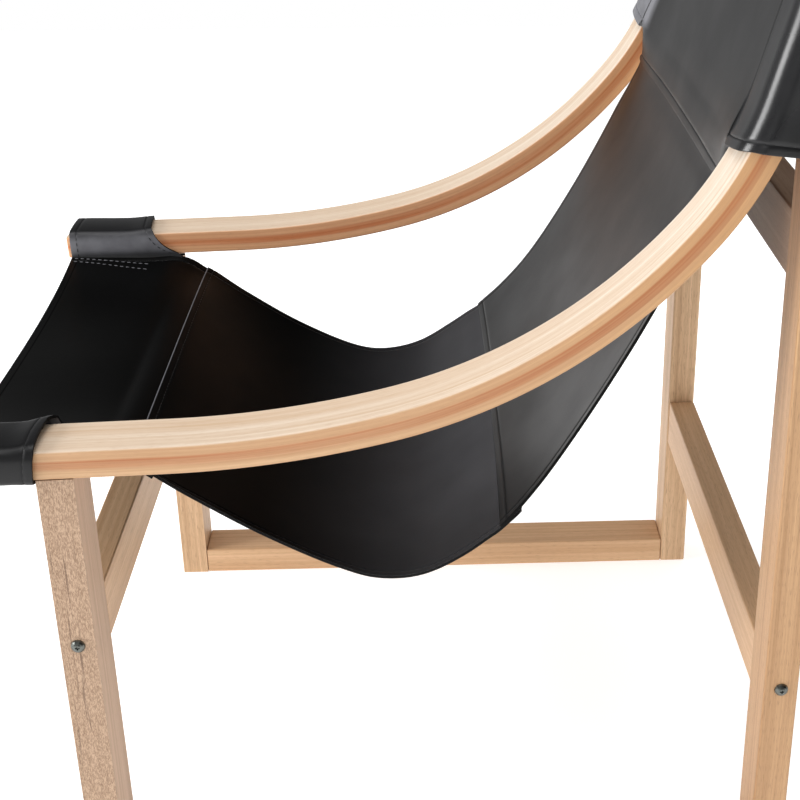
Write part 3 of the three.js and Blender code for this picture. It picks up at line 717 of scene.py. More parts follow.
def hanging_rows():
    """Rows of (half width, back, height, sag) down the sling's side edge."""
    hang_back = sleeve_front(hem_height)
    rows = [(half_width * width, between(loop_front, low_point[0], run),
             between(hang_height, low_point[1], drop), usual_sag * sag)
            for run, drop, width, sag in fall_rows]
    rows += [(half_width * width, between(low_point[0], hang_back, run),
              between(low_point[1], hem_height, rise), usual_sag * sag)
             for run, rise, width, sag in rise_rows]
    for k, sag in enumerate(upper_sags):
        height = between(hem_height, sleeve_top, (k + 1) / len(upper_sags))
        rows.append((half_width, sleeve_front(height), height, usual_sag * sag))
    return np.array(rows)


def batten(rows):
    """A centripetal spline through rows, with the same number of samples on every stretch."""
    padded = np.vstack([2 * rows[0] - rows[1], rows, 2 * rows[-1] - rows[-2]])
    knots = np.sqrt(np.linalg.norm(np.diff(padded[:, :3], axis=0), axis=1))
    out = []
    for k in range(1, len(padded) - 2):
        a, b, c, d = padded[k - 1:k + 3]
        before, here, after = knots[k - 1:k + 2]
        start = ((b - a) / before - (c - a) / (before + here) + (c - b) / here) * here
        end = ((c - b) / here - (d - b) / (here + after) + (d - c) / after) * here
        for t in np.arange(samples) / samples:
            out.append((2 * t ** 3 - 3 * t ** 2 + 1) * b + (t ** 3 - 2 * t ** 2 + t) * start
                       + (3 * t ** 2 - 2 * t ** 3) * c + (t ** 3 - t ** 2) * end)
    return np.array(out + [rows[-1]])


sling_line = batten(hanging_rows())
sling_steps = np.linalg.norm(np.diff(sling_line[:, :3], axis=0), axis=1)
sling_lengths = np.concatenate([[0], np.cumsum(sling_steps)])
seams = [sling_lengths[row * samples] for _, row, _ in panel_rows] + [sling_lengths[-1]]
print("side edge", round(sling_lengths[-1]), "mm, seams at", [round(s) for s in seams])

# %% [markdown]
# Every point of the sling is found by two numbers: how far along the side edge, and how far in
# from it. The middle sags below the edges, a little flatter than an arc, and evens out the bends
# that the edge makes behind the top seam. Near the loops and the sleeves the hide turns down
# within a few millimetres of its edge. Hide of this weight is never quite even, so a slow noise
# lifts and lowers it by under a millimetre. The stitches use the same function, so they always
# lie on the leather.

# %% Places on the sling
sag_flatness = 2.6
evened_flatness = 6
even_spread = 46.0
even_start, even_run = 110.0, 80.0
edge_drop, edge_reach = 7.0, 16.0
drop_start, drop_run = 10.0, 90.0
drop_end, drop_fade = 150.0, 130.0
sleeve_turn, sleeve_reach = 14.0, 22.0
turn_start = 4.0
wave_height, wave_across, wave_along, wave_seed = 0.8, 170, 150, 3.1
hem_length = sling_lengths[(len(fall_rows) + len(rise_rows) - 1) * samples]
top_seam = seams[3]


def evened_middle(spread):
    """How far a line evened over a spread lies off the edge line, at every sample."""
    middle = (sling_lengths[1:] + sling_lengths[:-1]) / 2
    gap = sling_lengths[:, None] - middle
    weight = np.exp(-(gap / spread) ** 2 / 2) * np.diff(sling_lengths)
    weight /= weight.sum(1)[:, None]
    edge = sling_line[:, 1:3]
    off = weight @ ((edge[1:] + edge[:-1]) / 2) - edge
    ahead = np.gradient(edge, axis=0)
    ahead /= np.linalg.norm(ahead, axis=1)[:, None]
    share = np.clip((sling_lengths - top_seam + even_start) / even_run, 0, 1)
    return (off[:, 0] * ahead[:, 1] - off[:, 1] * ahead[:, 0]) * share * share * (3 - 2 * share)


middle_off = evened_middle(even_spread)


def clipped(share):
    """Keeps a share between 0 and 1."""
    return min(max(share, 0), 1)


def ease(share):
    """Runs smoothly from 0 to 1."""
    share = clipped(share)
    return share * share * (3 - 2 * share)


@lru_cache(maxsize=None)
def sling_row(length):
    """Half width, back, height, sag and the two parts of the direction along the sling."""
    values = [np.interp(length, sling_lengths, column) for column in sling_line.T]
    ahead = [np.interp(length + 2, sling_lengths, sling_line[:, k]) for k in (1, 2)]
    behind = [np.interp(length - 2, sling_lengths, sling_line[:, k]) for k in (1, 2)]
    run, rise = ahead[0] - behind[0], ahead[1] - behind[1]
    size = math.hypot(run, rise)
    return *values, run / size, rise / size


def edge_fall(length, inset):
    """Drop close to the edge, where the hide turns down out of the front loops."""
    there = ease((length - drop_start) / drop_run) * (1 - ease((length - drop_end) / drop_fade))
    return edge_drop * there * ((1 - inset / half_width) ** 2 - math.exp(-inset / edge_reach))


def panel_drop(length, inset):
    """How far the hide lies off its edge line: the sag, and what changes it near the ends."""
    sag = sling_row(length)[3]
    across = max(0, 1 - inset / half_width)
    evened = float(np.interp(length, sling_lengths, middle_off))
    lobe = clipped((length - top_seam - turn_start) / (hem_length - top_seam))
    turn = sleeve_turn * math.sin(math.pi * lobe) * max(0, 1 - inset / sleeve_reach) ** 2
    return (sag * (1 - across ** sag_flatness) + edge_fall(length, inset)
            + evened * (1 - across ** evened_flatness) + turn)


def on_sling(length, inset, side, lift=0.0):
    """A point of the sling: along its edge, in from one edge, and lifted off its middle."""
    half, back, height, _, run, rise = sling_row(length)
    x = side * (1 - inset / half_width) * half
    wave = noise.noise(Vector((x / wave_across, length / wave_along, wave_seed)))
    drop = panel_drop(length, inset) - lift - wave_height * wave
    return spot(x, back + rise * drop, height - run * drop)


print("lowest place", [round(c, 3) for c in on_sling(seams[2] - 120, half_width, 1)])


# %% [markdown]
# Thick bridle leather is dyed black and waxed. It keeps a fine grain, 1.1 mm cells on a 3 mm
# unevenness, a satin shine that changes with handling, and faint cloudy marks. Two attributes
# tell where it differs. The first paints a grey sheen into the black in patches: a painted
# reflection and painted highlight, where the room's light would catch the hide. "unwaxed" dulls
# the hide beside the thread, and below zero it is rubbed bright. The back and the sleeves are
# glossiest and the loops satin. The front and the seat are nearly dull, and their darker dye is
# painted shade.

# %% Leather
def black_hide(name, gloss, deep, pale, sheen_range):
    """Black waxed hide: strength of its mirror, the dye's two tones, the range of its painted
    sheen.
    """
    material, tree, shader = new_material(name)
    place = add_node(tree, "ShaderNodeTexCoord").outputs["Object"]
    cloud = add_node(tree, "ShaderNodeTexNoise", {"Vector": place, "Scale": 9.0, "Detail": 5.0})
    cells = add_node(tree, "ShaderNodeTexVoronoi", {"Vector": place, "Scale": 1 / (1.1 * mm)})
    fine = add_node(tree, "ShaderNodeTexNoise", {
        "Vector": place, "Scale": 1 / (3 * mm), "Detail": 4.0,
    })
    dye = mix(tree, cloud, deep, pale)
    # The painted sheen: a grey mixed into the black in patches, as painted reflection and
    # highlight.
    bent = add_node(tree, "ShaderNodeAttribute", attribute_name="painted_sheen")
    patches = add_node(tree, "ShaderNodeTexNoise", {"Vector": place, "Scale": 26.0, "Detail": 5.0})
    patchy = ramp(tree, patches, 0.25, 0.75, *sheen_range)
    lightened = maths(tree, "MULTIPLY", bent.outputs["Fac"], patchy)
    tint = mix(tree, lightened, dye, "#77777C")
    shine = ramp(tree, cloud, 0.3, 0.7, 0.3, 0.42)
    rubbed = add_node(tree, "ShaderNodeAttribute", attribute_name="unwaxed")
    rough = maths(tree, "MULTIPLY_ADD", rubbed.outputs["Fac"], 0.6, shine)
    cell_bump = add_node(tree, "ShaderNodeBump", {
        "Height": cells.outputs["Distance"], "Strength": 0.12, "Distance": 0.15 * mm,
    })
    fine_bump = add_node(tree, "ShaderNodeBump", {
        "Height": fine, "Strength": 0.25, "Distance": 0.2 * mm, "Normal": cell_bump,
    })
    set_inputs(tree, shader, {
        "Base Color": tint, "Roughness": rough, "Normal": fine_bump, "Specular IOR Level": gloss,
    })
    return material


hide_black = black_hide("waxed_black_bridle_leather", 0.46, "#050506", "#0D0D0E", (0.35, 0.9))
loop_black = black_hide("satin_black_bridle_leather", 0.3, "#050506", "#0D0D0E", (0.35, 0.9))
# The front and seat copy has a darker dye and little mirror: painted shade, for the shade they lie
# in.
seat_black_painted_shade = black_hide("dull_black_bridle_leather_painted_shade", 0.06, "#030303", "#080808", (0.57, 0.68))
print("hides:", [hide_finish.name for hide_finish in (hide_black, loop_black, seat_black_painted_shade)])

# %% [markdown]
# Cut edges are sanded and inked black. On the front and seat panels and on the wraps, the corner
# between face and edge is painted pale grey: a painted highlight, for the thin line of light that
# the edge catches. The thread is waxed black polyester; the two rows that close a front loop are
# painted grey, which stands in for the highlights on their thread. All four need no more than
# two tones, which wander over the size of a fibre bundle or of a thread's twist.

# %% Edges and thread
def two_tone(name, dark, pale, spacing, finish):
    """A finish that wanders between two tones over a spacing in millimetres."""
    material, tree, shader = new_material(name)
    place = add_node(tree, "ShaderNodeTexCoord").outputs["Object"]
    wander = add_node(tree, "ShaderNodeTexNoise", {"Vector": place, "Scale": 1 / (spacing * mm)})
    tint = mix(tree, wander, dark, pale)
    set_inputs(tree, shader, {"Base Color": tint, **finish})
    return material


inked_edge = two_tone("inked_leather_edge", "#030303", "#0B0B0C", 2,
                      {"Roughness": 0.7, "Specular IOR Level": 0.2})
# A pale grey corner: painted highlight, for the line of light along the edge.
edge_highlight_finish = two_tone("leather_edge_painted_highlight", "#5A5A5C", "#7E7E80", 2, {"Roughness": 0.38})
thread = two_tone("waxed_polyester_thread", "#060607", "#1C1C1E", 0.8, {"Roughness": 0.5})
# Grey thread on the closing rows: painted highlight.
highlight_thread = two_tone("closing_thread_painted_highlight", "#4A4A4E", "#86868C", 0.8,
                          {"Roughness": 0.4})
print("edges and threads:", [m.name for m in (inked_edge, edge_highlight_finish, thread, highlight_thread)])

# %% [markdown]
# The thread of a row draws the hide in and leaves a shallow groove 8.5 mm from the edge. The
# panel further back always lies on top of a seam. Its edge is skived, pared thinner, and it
# rises a little, while the panel before it dips and runs on below it for 25 mm. Lift is how far
# a panel's middle stands off the even surface, so the two never meet.

# %% Seams and grooves
lap = 25.0
stitch_inset = 8.5
groove_depth, groove_width = 1.0, 0.6
seam_rise, rise_run = 0.5, 45.0
skived, skive_run = 0.5, 12.0
under_dip, under_run = 1.7, 22.0
tail_dip, tail_run = 1.4, 20.0


def groove(distance):
    """Depth of the sewn groove at a distance from its edge."""
    return groove_depth * math.exp(-((distance - stitch_inset) / groove_width) ** 2)


def top_lift(length, seam):
    """How far the upper panel stands off the even surface behind its seam."""
    thinned = skived * (1 - ease((length - seam) / skive_run))
    return seam_rise * (1 - ease((length - seam) / rise_run)) - thinned


def panel_lift(order, length):
    """Lift of a panel at a length: raised at its own seam, dipped below the next one."""
    start, end = seams[order], seams[order + 1]
    lift = 0.0
    if order > 0:
        lift += top_lift(length, start) - groove(length - start)
    if order < 3:
        tail = tail_dip * ease((length - end) / tail_run)
        under = top_lift(max(length, end), end) - under_dip - tail
        lift += under * ease((length - end + under_run) / under_run)
    return lift


print("lift at each seam", [round(panel_lift(k, seams[k]), 2) for k in range(1, 4)])

# %% [markdown]
# A sheet is a grid whose points are put in place one by one. Its rows and columns stand close
# together near edges and seams, where the grooves are, and further apart in the middle. The
# Solidify modifier gives it the 3 mm of the hide and an inked edge, and Bevel eases the corners.
# The size that it was cut to is measured on the grid, along its rows and columns.

# %% Helpers for sheets
border = (0, 1.5, 4, 6.4, 7.8, stitch_inset, 9.2, 10.6, 13, 18, 26)
corner_radius = 0.8


def stops(start, end, step, last=True):
    """Growing positions with the border's close steps at the start, and at the end if asked."""
    left = [start + b for b in border]
    right = [end - b for b in reversed(border)] if last else [end]
    count = max(2, round((right[0] - left[-1]) / step))
    inner = [between(left[-1], right[0], k / count) for k in range(1, count)]
    return left + inner + right


def thicken(piece, corner):
    """Gives a sheet the thickness of the hide, an inked edge and eased corners."""
    piece.data.materials.append(inked_edge)
    piece.data.materials.append(corner)
    solid = piece.modifiers.new("hide", "SOLIDIFY")
    solid.thickness = hide * mm
    solid.offset = 0
    solid.material_offset_rim = 1
    eased = piece.modifiers.new("eased_edges", "BEVEL")
    eased.width = corner_radius * mm
    eased.segments = 2
    eased.limit_method = "ANGLE"
    eased.angle_limit = math.radians(60)
    eased.material = 2


def grid_sheet(name, columns, rows, place, material, looks):
    """A grid whose point in column u and row v lies where a function says, with its looks."""
    bm = bmesh.new()
    last_u, last_v = len(columns) - 1, len(rows) - 1
    bmesh.ops.create_grid(bm, x_segments=last_u, y_segments=last_v, size=1)
    for vertex in bm.verts:
        u = round((vertex.co.x + 1) / 2 * last_u)
        v = round((vertex.co.y + 1) / 2 * last_v)
        vertex.co = place(columns[u], rows[v])
    piece = add_piece(name, bm, material)
    for word, look in looks.items():
        layer = piece.data.attributes.new(word, "FLOAT", "POINT")
        for k in range(len(piece.data.vertices)):
            layer.data[k].value = look(k % len(columns), k // len(columns))
    return piece


def flat_size(columns, rows, place):
    """Width and length of a sheet laid flat, and its area, in metres."""
    points = np.array([[place(u, v) for u in columns[::2]] for v in rows[::2]])
    wide = np.linalg.norm(np.diff(points, axis=1), axis=2).sum(1)
    long = np.linalg.norm(np.diff(points, axis=0), axis=2).sum(0)
    side_u = np.linalg.norm(points[:-1, 1:] - points[:-1, :-1], axis=2)
    side_v = np.linalg.norm(points[1:, :-1] - points[:-1, :-1], axis=2)
    flat = round(float(wide.max()), 3), round(float(long.max()), 3)
    area = min(float((side_u * side_v).sum()), flat[0] * flat[1])
    print("flat size", flat, "area", round(area, 4))
    return flat, area


print("border of", len(border), "rows")

# %% [markdown]
# The front and the seat panel hang from the loops, the two behind them from the sleeves. On the
# seat, a painted highlight marks its edge on the seam, and a painted grey sheen grows towards
# the back as painted reflection. The far edge of the upper back gets a painted sheen where it
# runs into its sleeve.

# %% Panels of the sling
row_step, column_step = 6.5, 14.0
seam_edge_highlight = 1.7
seat_sheen, sheen_start, sheen_run = 0.31, 300.0, 290.0
edge_sheen = 1.4
for order, (part, _, _) in enumerate(panel_rows):
    ends = seams[order + 1] + (lap if order < 3 else 0)
    rows = stops(seams[order], ends, row_step, last=order == 3)
    columns = stops(-half_width, half_width, column_step)

    def place(column, length):
        inset = half_width - abs(column)
        side = 1 if column >= 0 else -1
        lift = panel_lift(order, length) - (groove(inset) if order < 3 else 0)
        return on_sling(length, inset, side, lift)

    # Painted grey sheen: a highlight line on the seat's seam edge, a painted reflection towards
    # the seat's back, and a painted sheen on the upper back's far edge.
    def painted_sheen(u, v):
        inset = half_width - abs(columns[u])
        if order == 1:
            back = ease((rows[v] - sheen_start) / sheen_run)
            return seam_edge_highlight if v == 0 else seat_sheen * back
        if order == 3 and columns[u] < 0:
            near = 1 - ease((inset - 18) / 16)
            return edge_sheen * near * ease((rows[v] - hem_length + 6) / 20)
        return 0

    def unwaxed(u, v):
        inset = half_width - abs(columns[u])
        rows_near = [rows[v] - seams[order], seams[3] - rows[v] if order == 3 else inset]
        return max(groove(distance) for distance in rows_near) / groove_depth

    face, corner, wraps = (seat_black_painted_shade, edge_highlight_finish, "loop") if order < 2 else (
        hide_black, inked_edge, "sleeve")
    panel = grid_sheet(f"sling_{part}", columns, rows, place, face,
                       {"painted_sheen": painted_sheen, "unwaxed": unwaxed})
    thicken(panel, corner)
    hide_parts(f"{part}_panel")
    flat, area = flat_size(columns, rows, place)
    print(panel.name, len(panel.data.polygons), "faces")

# %% [markdown]
# Where the sling reaches a rail it wraps round it. A wrap is followed by a path round the rail,
# straight spans joined by arcs, because thick hide never folds sharply. The same number of
# points stands on every span, so a section that changes along its length keeps its corners.

# %% Path round a rail
hem_border = border[:-1]
arc_steps = 5


def rounded_path(corners, radii, counts):
    """Points along straight spans and the arcs that join them, and the way out at each."""
    corners = [np.array(c, float) for c in corners]
    ends = [corners[0]]
    arcs = []
    for before, here, after, radius in zip(corners, corners[1:], corners[2:], radii):
        u = (before - here) / np.linalg.norm(before - here)
        v = (after - here) / np.linalg.norm(after - here)
        half = math.acos(np.clip(u @ v, -1, 1)) / 2
        start, end = here + u * radius / math.tan(half), here + v * radius / math.tan(half)
        middle = here + (u + v) / np.linalg.norm(u + v) * radius / math.sin(half)
        steps = [between(start, end, k / arc_steps) - middle for k in range(arc_steps + 1)]
        arcs.append([middle + p / np.linalg.norm(p) * radius for p in steps])
        ends += [start, end]
    ends.append(corners[-1])
    points = [ends[0]]
    for k, count in enumerate(counts):
        a, b = ends[2 * k], ends[2 * k + 1]
        points += [between(a, b, (i + 1) / count) for i in range(count)]
        if k < len(arcs):
            points += arcs[k][1:]
    points = np.array(points)
    along = np.gradient(points, axis=0)
    along /= np.linalg.norm(along, axis=1)[:, None]
    return points, np.stack([-along[:, 1], along[:, 0]], axis=1)


def hem_rows(step, length):
    """Rows of (offset, share): a row lies at its offset plus its share of the hem's distance."""
    edge = hem_border[-1]
    count = max(2, round((length - 2 * edge) / step))
    shares = [k / count for k in range(1, count)]
    return ([(b, 0) for b in hem_border] + [(edge * (1 - 2 * t), t) for t in shares]
            + [(-b, 1) for b in reversed(hem_border)])


def hem_groove(row, hem):
    """Depth of the sewn grooves along both hems of a wrap."""
    at = row[0] + row[1] * hem
    return groove(at) + groove(hem - at)


def even_out(values, passes):
    """Softens the bends in a row of numbers and keeps its ends."""
    for _ in range(passes):
        inner = [(a + 2 * b + c) / 4 for a, b, c in zip(values, values[1:], values[2:])]
        values = [values[0], *inner, values[-1]]
    return values


def wrap_piece(name, node, columns, rows, place, material, sheen_by_column, rubbed):
    """A wrap round a rail as a sheet with its thickness, in its node's place."""
    def unwaxed(u, v):
        offset, share = rows[v]
        return (groove(abs(offset)) / groove_depth if share in (0, 1) else 0) - rubbed[u]

    piece = grid_sheet(name, columns, rows, place, material,
                       {"painted_sheen": lambda u, v: sheen_by_column[u], "unwaxed": unwaxed})
    bm = bmesh.new()
    bm.from_mesh(piece.data)
    bmesh.ops.recalc_face_normals(bm, faces=bm.faces[:])
    bm.to_mesh(piece.data)
    bm.free()
    thicken(piece, edge_highlight_finish)
    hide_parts(node)
    flat, area = flat_size(columns, rows, place)
    print(name, len(piece.data.polygons), "faces")


print("helpers for wraps")


# %% [markdown]
# The front loops hug the overhanging ends of the rails. Their section is measured from the
# rail's centre line, x outwards and y up. The rear hem runs slantwise over the rail's top, and
# on the inner side the hide sweeps back as a gusset and becomes the sling's own edge. Below, the
# loop's hide curves inwards and lies down on the sling, where two rows of stitches close it. It
# sinks into the sling there, as skived hide does, so no step shows.

# %% Front loops
loop_inset = 5.5
loop_length = 99.4
wrap_x = rail_width / 2 + play + half_hide
wrap_y = half_rail + play + half_hide
slack = 1.0
fold_radius = 7.0
loop_bulge = 1.6
loop_flares = {1: (2.6, 2.4), -1: (1.4, 1.2)}
side_flare, flare_run = 1.2, 30.0
puff_height, puff_run = 2.0, 70.0
gusset_sink, sink_start, sink_run = 4.6, 92.0, 30.0
loop_path, loop_out = rounded_path([
    (-wrap_x - 17, -wrap_y - 1.6), (-wrap_x - 0.8, -wrap_y + 0.2),
    (-wrap_x - 0.6, wrap_y + slack), (wrap_x + slack, wrap_y + slack),
    (wrap_x + slack, -wrap_y), (-wrap_x + 4, -wrap_y), (-wrap_x - 10, -wrap_y - 3.2),
], (fold_radius, 7.5, 8.5, 4.5, 3), (5, 9, 18, 8, 18, 5))
loop_columns = list(range(len(loop_path)))
gusset_heights = (-14.4, -10, -5, 1.7, 8, 14, 19)
gusset_hems = (144, 134, 124, 116.4, 111.5, 107.8, 104.8)
top_hems = {1: (105, 103, 103.5), -1: (104, 101.5, 98.5)}
side_hems = {1: (98.5, 102.5), -1: (95.5, 98)}
gusset_extra = {1: 7, -1: 0}
tongue_hem = 106


def loop_hem(x, y, sign):
    """Distance from the loop's front edge to its rear hem, at a place on the section."""
    if x < -wrap_x + 5 and y > -wrap_y - 1.5:
        hem = float(np.interp(y, gusset_heights, gusset_hems))
        return hem + gusset_extra[sign] * ease((y + 5) / 20)
    if y > wrap_y - 4:
        return float(np.interp(x, (-wrap_x + 5, 0, wrap_x), top_hems[sign]))
    if x > wrap_x - 4:
        return float(np.interp(y, (-wrap_y, wrap_y), side_hems[sign]))
    return float(np.interp(x, (-wrap_x, wrap_x), (tongue_hem, side_hems[sign][0])))


loop_hems = {sign: even_out([loop_hem(x, y, sign) for x, y in loop_path], 4) for _, sign in sides}


def loop_place(sign):
    """The function that puts a point of a loop in its place."""
    def place(column, row, lift=0.0):
        x, y = loop_path[column]
        out = loop_out[column]
        hem = loop_hems[sign][column]
        at = row[0] + row[1] * hem
        bulge = loop_bulge * (2 - min(1, (x / wrap_x) ** 2) - min(1, (y / wrap_y) ** 2))
        least, more = loop_flares[sign]
        wide = least + more * clipped((wrap_x - x) / (2 * wrap_x))
        flare = 0 if y < -wrap_y + 2 else side_flare if y < wrap_y - 1 else wide
        flare *= ease((at - hem + flare_run) / flare_run) * (x > -wrap_x + 1)
        puff = puff_height * (1 - ease(at / puff_run)) if y > wrap_y - 1 else 0
        inward = max(0, -wrap_x - x)
        upper = y > -wrap_y - 1.7
        sewn = 0 if inward > 0 and upper else hem_groove(row, hem)
        off = bulge + flare + puff - sewn + lift
        if inward > 0:
            y -= panel_drop(at, inward)
            if upper:
                sink = ease((at - sink_start) / sink_run) * min(1, inward / fold_radius)
                y -= gusset_sink * sink
        x, y = x + out[0] * off, y + out[1] * off
        at += loop_inset
        back = rail_tip[0] + at * math.cos(rail_slope) - y * math.sin(rail_slope)
        height = rail_tip[1] + at * math.sin(rail_slope) + y * math.cos(rail_slope)
        return spot(sign * (rail_middle + x), back, height)
    return place


def wall_sheen(x, y):
    """How much grey sheen is painted on the loop's inner wall, a painted reflection, more than
    anywhere else.
    """
    inner_wall = float(x < -wrap_x + 3)
    return 0.03 + 1.1 * inner_wall * ease((y + wrap_y - 4) / 8) * (1 - ease((y - 8) / 9))


tongue_dulling = 0.7
loop_rows = hem_rows(6.0, loop_length)
loop_sheen = even_out([wall_sheen(x, y) for x, y in loop_path], 4)
loop_rub = even_out([-tongue_dulling * (x < -wrap_x - 2) for x, _ in loop_path], 2)
for side, sign in sides:
    wrap_piece(f"loop_{side}", f"front_loop_{side}", loop_columns, loop_rows, loop_place(sign),
               loop_black, loop_sheen, loop_rub)

# %% [markdown]
# The rear sleeves do the same round the rail and the rear leg together. Their section grows
# deeper towards the bottom, where the two part, so a path is made for every height. The front
# is the sling's own hide carried on over the rail, and its lower hem falls to the inner side.

# %% Rear sleeves
sleeve_hem = 779.0
hem_dip = 11.0
hem_fall = 11.0
flange = 26.0
corner_out = 4.4
sleeve_bulge = 2.4
sleeve_flare, sleeve_flare_run = 1.2, 40.0
rim_cover, rim_run = 0.8, 2.5
flange_sink, flange_start, flange_run = 5.4, 4.0, 22.0


@lru_cache(maxsize=None)
def sleeve_section(height):
    """The path round the rail and the rear leg at a height, and the way out of it."""
    front = sleeve_front(height)
    back = max(rear_leg_back, rail_face(-half_rail, height)) + play + half_hide
    return rounded_path([
        (-wrap_x - flange, front + 0.4), (-wrap_x + 1, front),
        (wrap_x + corner_out, front - corner_out), (wrap_x + slack, back),
        (-wrap_x, back), (-wrap_x, front + 3.4),
    ], (12, 18, 4.5, 4.5), (8, 12, 12, 18, 14))


sleeve_columns = list(range(len(sleeve_section(sleeve_top)[0])))


def sleeve_bottom(column):
    """Height of the sleeve's lower hem at a column of its section."""
    points, _ = sleeve_section(sleeve_hem)
    x, y = points[column]
    front = sleeve_front(sleeve_hem)
    back = rear_leg_back + play + half_hide
    inward = clipped((wrap_x - x) / (2 * wrap_x))
    rearward = clipped((y - front) / (back - front))
    return sleeve_hem - hem_dip * inward - hem_fall * rearward


sleeve_bottoms = [sleeve_bottom(column) for column in sleeve_columns]


def sleeve_place(sign):
    """The function that puts a point of a sleeve in its place."""
    def place(column, row, lift=0.0):
        hem = sleeve_top - sleeve_bottoms[column]
        down = row[0] + row[1] * hem
        height = sleeve_top - down
        points, outs = sleeve_section(height)
        x, y = points[column]
        inward = -wrap_x - x
        if inward > 0:
            length = float(np.interp(height, upper_heights, upper_lengths))
            inset = max(0, inward - play - half_hide)
            edge = sling_row(length)
            y += (edge[1] - sleeve_front(height)) * ease(inward / 5)
            y += panel_drop(length, inset) / edge[5]
            y += flange_sink * ease((inward - flange_start) / flange_run)
            y -= rim_cover * ease(inward / rim_run)
        bulge = sleeve_bulge * (1 - min(1, (x / wrap_x) ** 2))
        opened = ease((down - hem + sleeve_flare_run) / sleeve_flare_run)
        flare = 0 if inward > 0 else sleeve_flare * opened
        off = bulge + flare - hem_groove(row, hem) + lift
        out = -outs[column]
        return spot(sign * (rail_middle + x + out[0] * off), y + out[1] * off, height)
    return place


sleeve_rows = hem_rows(7.0, sleeve_top - sleeve_hem)
upper_heights = sling_line[panel_rows[3][1] * samples:, 2]
upper_lengths = sling_lengths[panel_rows[3][1] * samples:]
front_columns, corner_columns = range(10, 32), range(24, 34)
# The sleeves' fronts get painted grey sheen: a painted highlight streak on the far sleeve, almost
# none on the near one.
sleeve_sheens = {1: 0.06, -1: 1.4}
corner_shine = 0.17
sleeve_rub = even_out([corner_shine * (c in corner_columns) for c in sleeve_columns], 8)
for side, sign in sides:
    sleeve_sheen = even_out([sleeve_sheens[sign] * (c in front_columns) for c in sleeve_columns], 8)
    wrap_piece(f"sleeve_{side}", f"rear_sleeve_{side}", sleeve_columns, sleeve_rows,
               sleeve_place(sign), hide_black, sleeve_sheen, sleeve_rub)

# %% [markdown]
# Stitches are drawn as what they are: short lengths of thread, each a small drawn-out sphere
# that lies along its row and dips into the groove. A saddle stitch on hide this thick is 5.6 mm
# long with 2 mm of hide between two, so the dots of a row can be told apart.

# %% Stitches
stitch_pitch = 7.6
stitch_length = 5.6
thread_radius = 0.55


def one_stitch():
    """Points and faces of one length of thread, from an operator's sphere."""
    bm = bmesh.new()
    size = Matrix.Diagonal((thread_radius * mm, thread_radius * mm, stitch_length / 2 * mm, 1))
    bmesh.ops.create_icosphere(bm, subdivisions=1, radius=1, matrix=size)
    points = np.array([vertex.co for vertex in bm.verts])
    faces = np.array([[vertex.index for vertex in face.verts] for face in bm.faces])
    bm.free()
    return points, faces


stitch_points, stitch_faces = one_stitch()


def even_places(points, pitch):
    """Places at an even distance along a line of points, with the line's direction there."""
    points = np.array(points)
    run = np.concatenate([[0], np.cumsum(np.linalg.norm(np.diff(points, axis=0), axis=1))])
    count = int((run[-1] - pitch * mm) / (pitch * mm))
    first = (run[-1] - count * pitch * mm) / 2
    for k in range(count + 1):
        at = first + k * pitch * mm
        here = [np.interp(at, run, column) for column in points.T]
        ahead = [np.interp(at + mm, run, column) for column in points.T]
        yield Vector(here), (Vector(ahead) - Vector(here)).normalized()


def sew(name, lines, material=thread):
    """One piece of all the stitches on several lines."""
    places, faces = [], []
    for points in lines:
        for place, along in even_places(points, stitch_pitch):
            turn = np.array(along.to_track_quat("Z", "Y").to_matrix())
            faces.append(stitch_faces + len(places) * len(stitch_points))
            places.append(stitch_points @ turn.T + np.array(place))
    mesh = bpy.data.meshes.new("sewn")
    mesh.from_pydata(np.concatenate(places), [], np.concatenate(faces).tolist())
    bm = bmesh.new()
    bm.from_mesh(mesh)
    piece = add_piece(name, bm, material)
    print(name, len(piece.data.polygons), "faces")


print("one stitch has", len(stitch_faces), "faces")

# %% [markdown]
# The panels are sewn along their side edges and across every seam. The thread lies on the hide
# and is sunk 0.7 mm, so it stays in its groove. Behind the front loops the side rows start where
# the gussets end, and the upper back has none, because its edges are inside the sleeves.

# %% Stitches of the panels
on_top = half_hide + 0.1
sunk = 0.7
line_step = 4
gusset_end = 148
seam_clear = 2
lines = []
for order in range(len(panel_rows)):
    at = seams[order] + stitch_inset
    if order < 3:
        start = seams[order] + (seam_clear if order else gusset_end)
        lengths = np.arange(start, seams[order + 1] - seam_clear, line_step)
        for side in (1, -1):
            lines.append([on_sling(s, stitch_inset, side, panel_lift(order, s) - sunk + on_top)
                          for s in lengths])
    insets = np.arange(6, half_width, 6)
    lift = panel_lift(order, at) + on_top - sunk + (groove_depth if order else 0)
    across = [(inset, 1) for inset in insets] + [(inset, -1) for inset in reversed(insets)]
    lines.append([on_sling(at, inset, side, lift) for inset, side in across])
sew("sling_stitches", lines)

# %% [markdown]
# The wraps are sewn along both hems. Two slanting rows close a loop under its rail, their thread
# painted grey for its highlights, one row runs down a sleeve's inner side, and all of them use
# the wrap's own place function with a lift, so the thread follows every bulge of the hide.

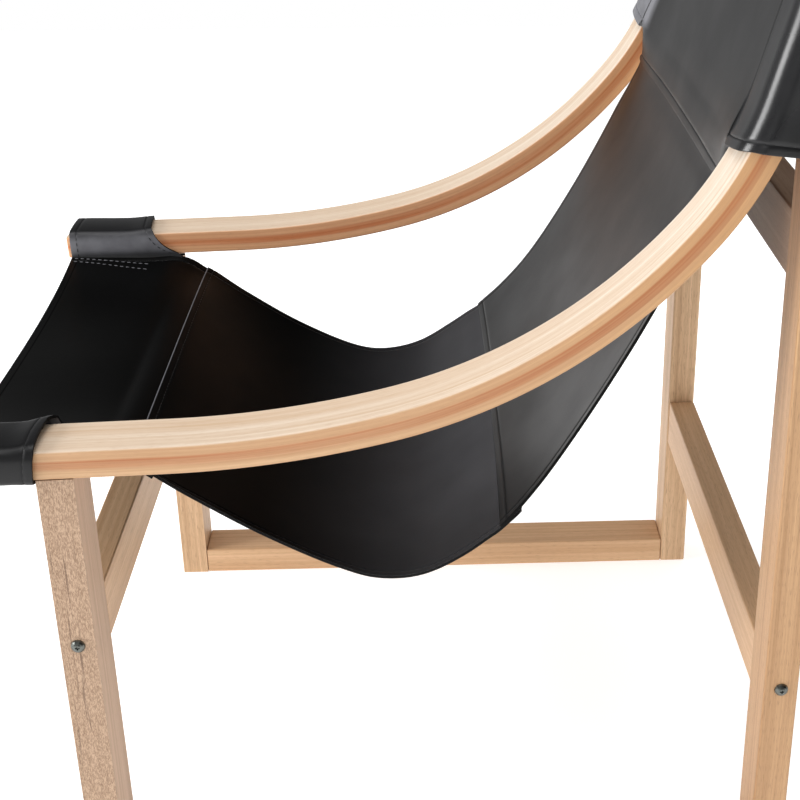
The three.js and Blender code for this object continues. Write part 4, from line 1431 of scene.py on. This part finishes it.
# %% Stitches of the wraps
front_hem, rear_hem = (stitch_inset, 0), (-stitch_inset, 1)
hem_lift = on_top + 0.2
closing_start, closing_end = 2, 102
closing_insets = ((4, 15), (12, 27))
inner_row_x, inner_row_start, inner_row_end = -21, 14, 146
for side, sign in sides:
    place = loop_place(sign)
    hems = [[place(c, front_hem, hem_lift) for c in loop_columns[7:-12]],
            [place(c, rear_hem, hem_lift) for c in loop_columns[8:-12]]]
    lengths = np.arange(closing_start, closing_end + 1, line_step)
    closing = [[on_sling(s, between(*insets, s / closing_end), sign, on_top) for s in lengths]
               for insets in closing_insets]
    sew(f"loop_stitches_{side}", hems)
    sew(f"closing_stitches_{side}", closing, highlight_thread)
    place = sleeve_place(sign)
    hems = [[place(c, hem, hem_lift) for c in sleeve_columns[7:-2]]
            for hem in (front_hem, rear_hem)]
    section, _ = sleeve_section(slope_height)
    corner = min(sleeve_columns[:26], key=lambda c: abs(section[c][0] - inner_row_x))
    downs = np.arange(inner_row_start, inner_row_end, line_step)
    row = [place(corner, (down, 0), on_top - 0.5) for down in downs]
    sew(f"sleeve_stitches_{side}", hems + [row])

# %% [markdown]
# Bolts, nuts, pins and dowels stay as the frame has them, because their shape is already the
# real one. The bolts are steel with black nickel plate: a dark metal with a soft, slightly
# green-grey mirror. The nuts are zinc plated, duller and brighter, with faint spangles. Pins
# and dowels are turned beech, pale and fine, with the short flecks that beech always has.

# %% Finishes of the small parts
black_nickel, tree, shader = new_material("black_nickel_plated_steel")
place = add_node(tree, "ShaderNodeTexCoord").outputs["Object"]
haze = add_node(tree, "ShaderNodeTexNoise", {"Vector": place, "Scale": 1 / (2.5 * mm)})
polish = ramp(tree, haze, 0.3, 0.7, 0.26, 0.38)
plate = mix(tree, haze, "#5C5F5C", "#787B76")
set_inputs(tree, shader, {"Base Color": plate, "Metallic": 1.0, "Roughness": polish})

zinc, tree, shader = new_material("zinc_plated_steel")
place = add_node(tree, "ShaderNodeTexCoord").outputs["Object"]
spangle = add_node(tree, "ShaderNodeTexVoronoi", {"Vector": place, "Scale": 1 / (1.6 * mm)})
plate = mix(tree, spangle.outputs["Distance"], "#A6A9AC", "#C6C9CB")
set_inputs(tree, shader, {"Base Color": plate, "Metallic": 1.0, "Roughness": 0.38})

beech, tree, shader = new_material("turned_beech")
place = add_node(tree, "ShaderNodeTexCoord").outputs["Object"]
flecks = drawn_noise(tree, place, (900, 900, 260))
tone = mix(tree, flecks, "#C79E73", "#DDBB92")
set_inputs(tree, shader, {"Base Color": tone, "Roughness": 0.6, "IOR": 1.45})

finishes = {"bolt": black_nickel, "nut": zinc, "pin": beech, "dowel": beech}
for name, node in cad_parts.items():
    kind = next((word for word in finishes if word in name), None)
    if kind:
        node.data.materials.clear()
        node.data.materials.append(finishes[kind])
print("small parts finished:", sum(not node.hide_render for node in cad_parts.values()))

# %% [markdown]
# At the end the box of the finished chair is measured. The leather may stand a little proud of
# the solids.

# %% Measure the finished chair
low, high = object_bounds()
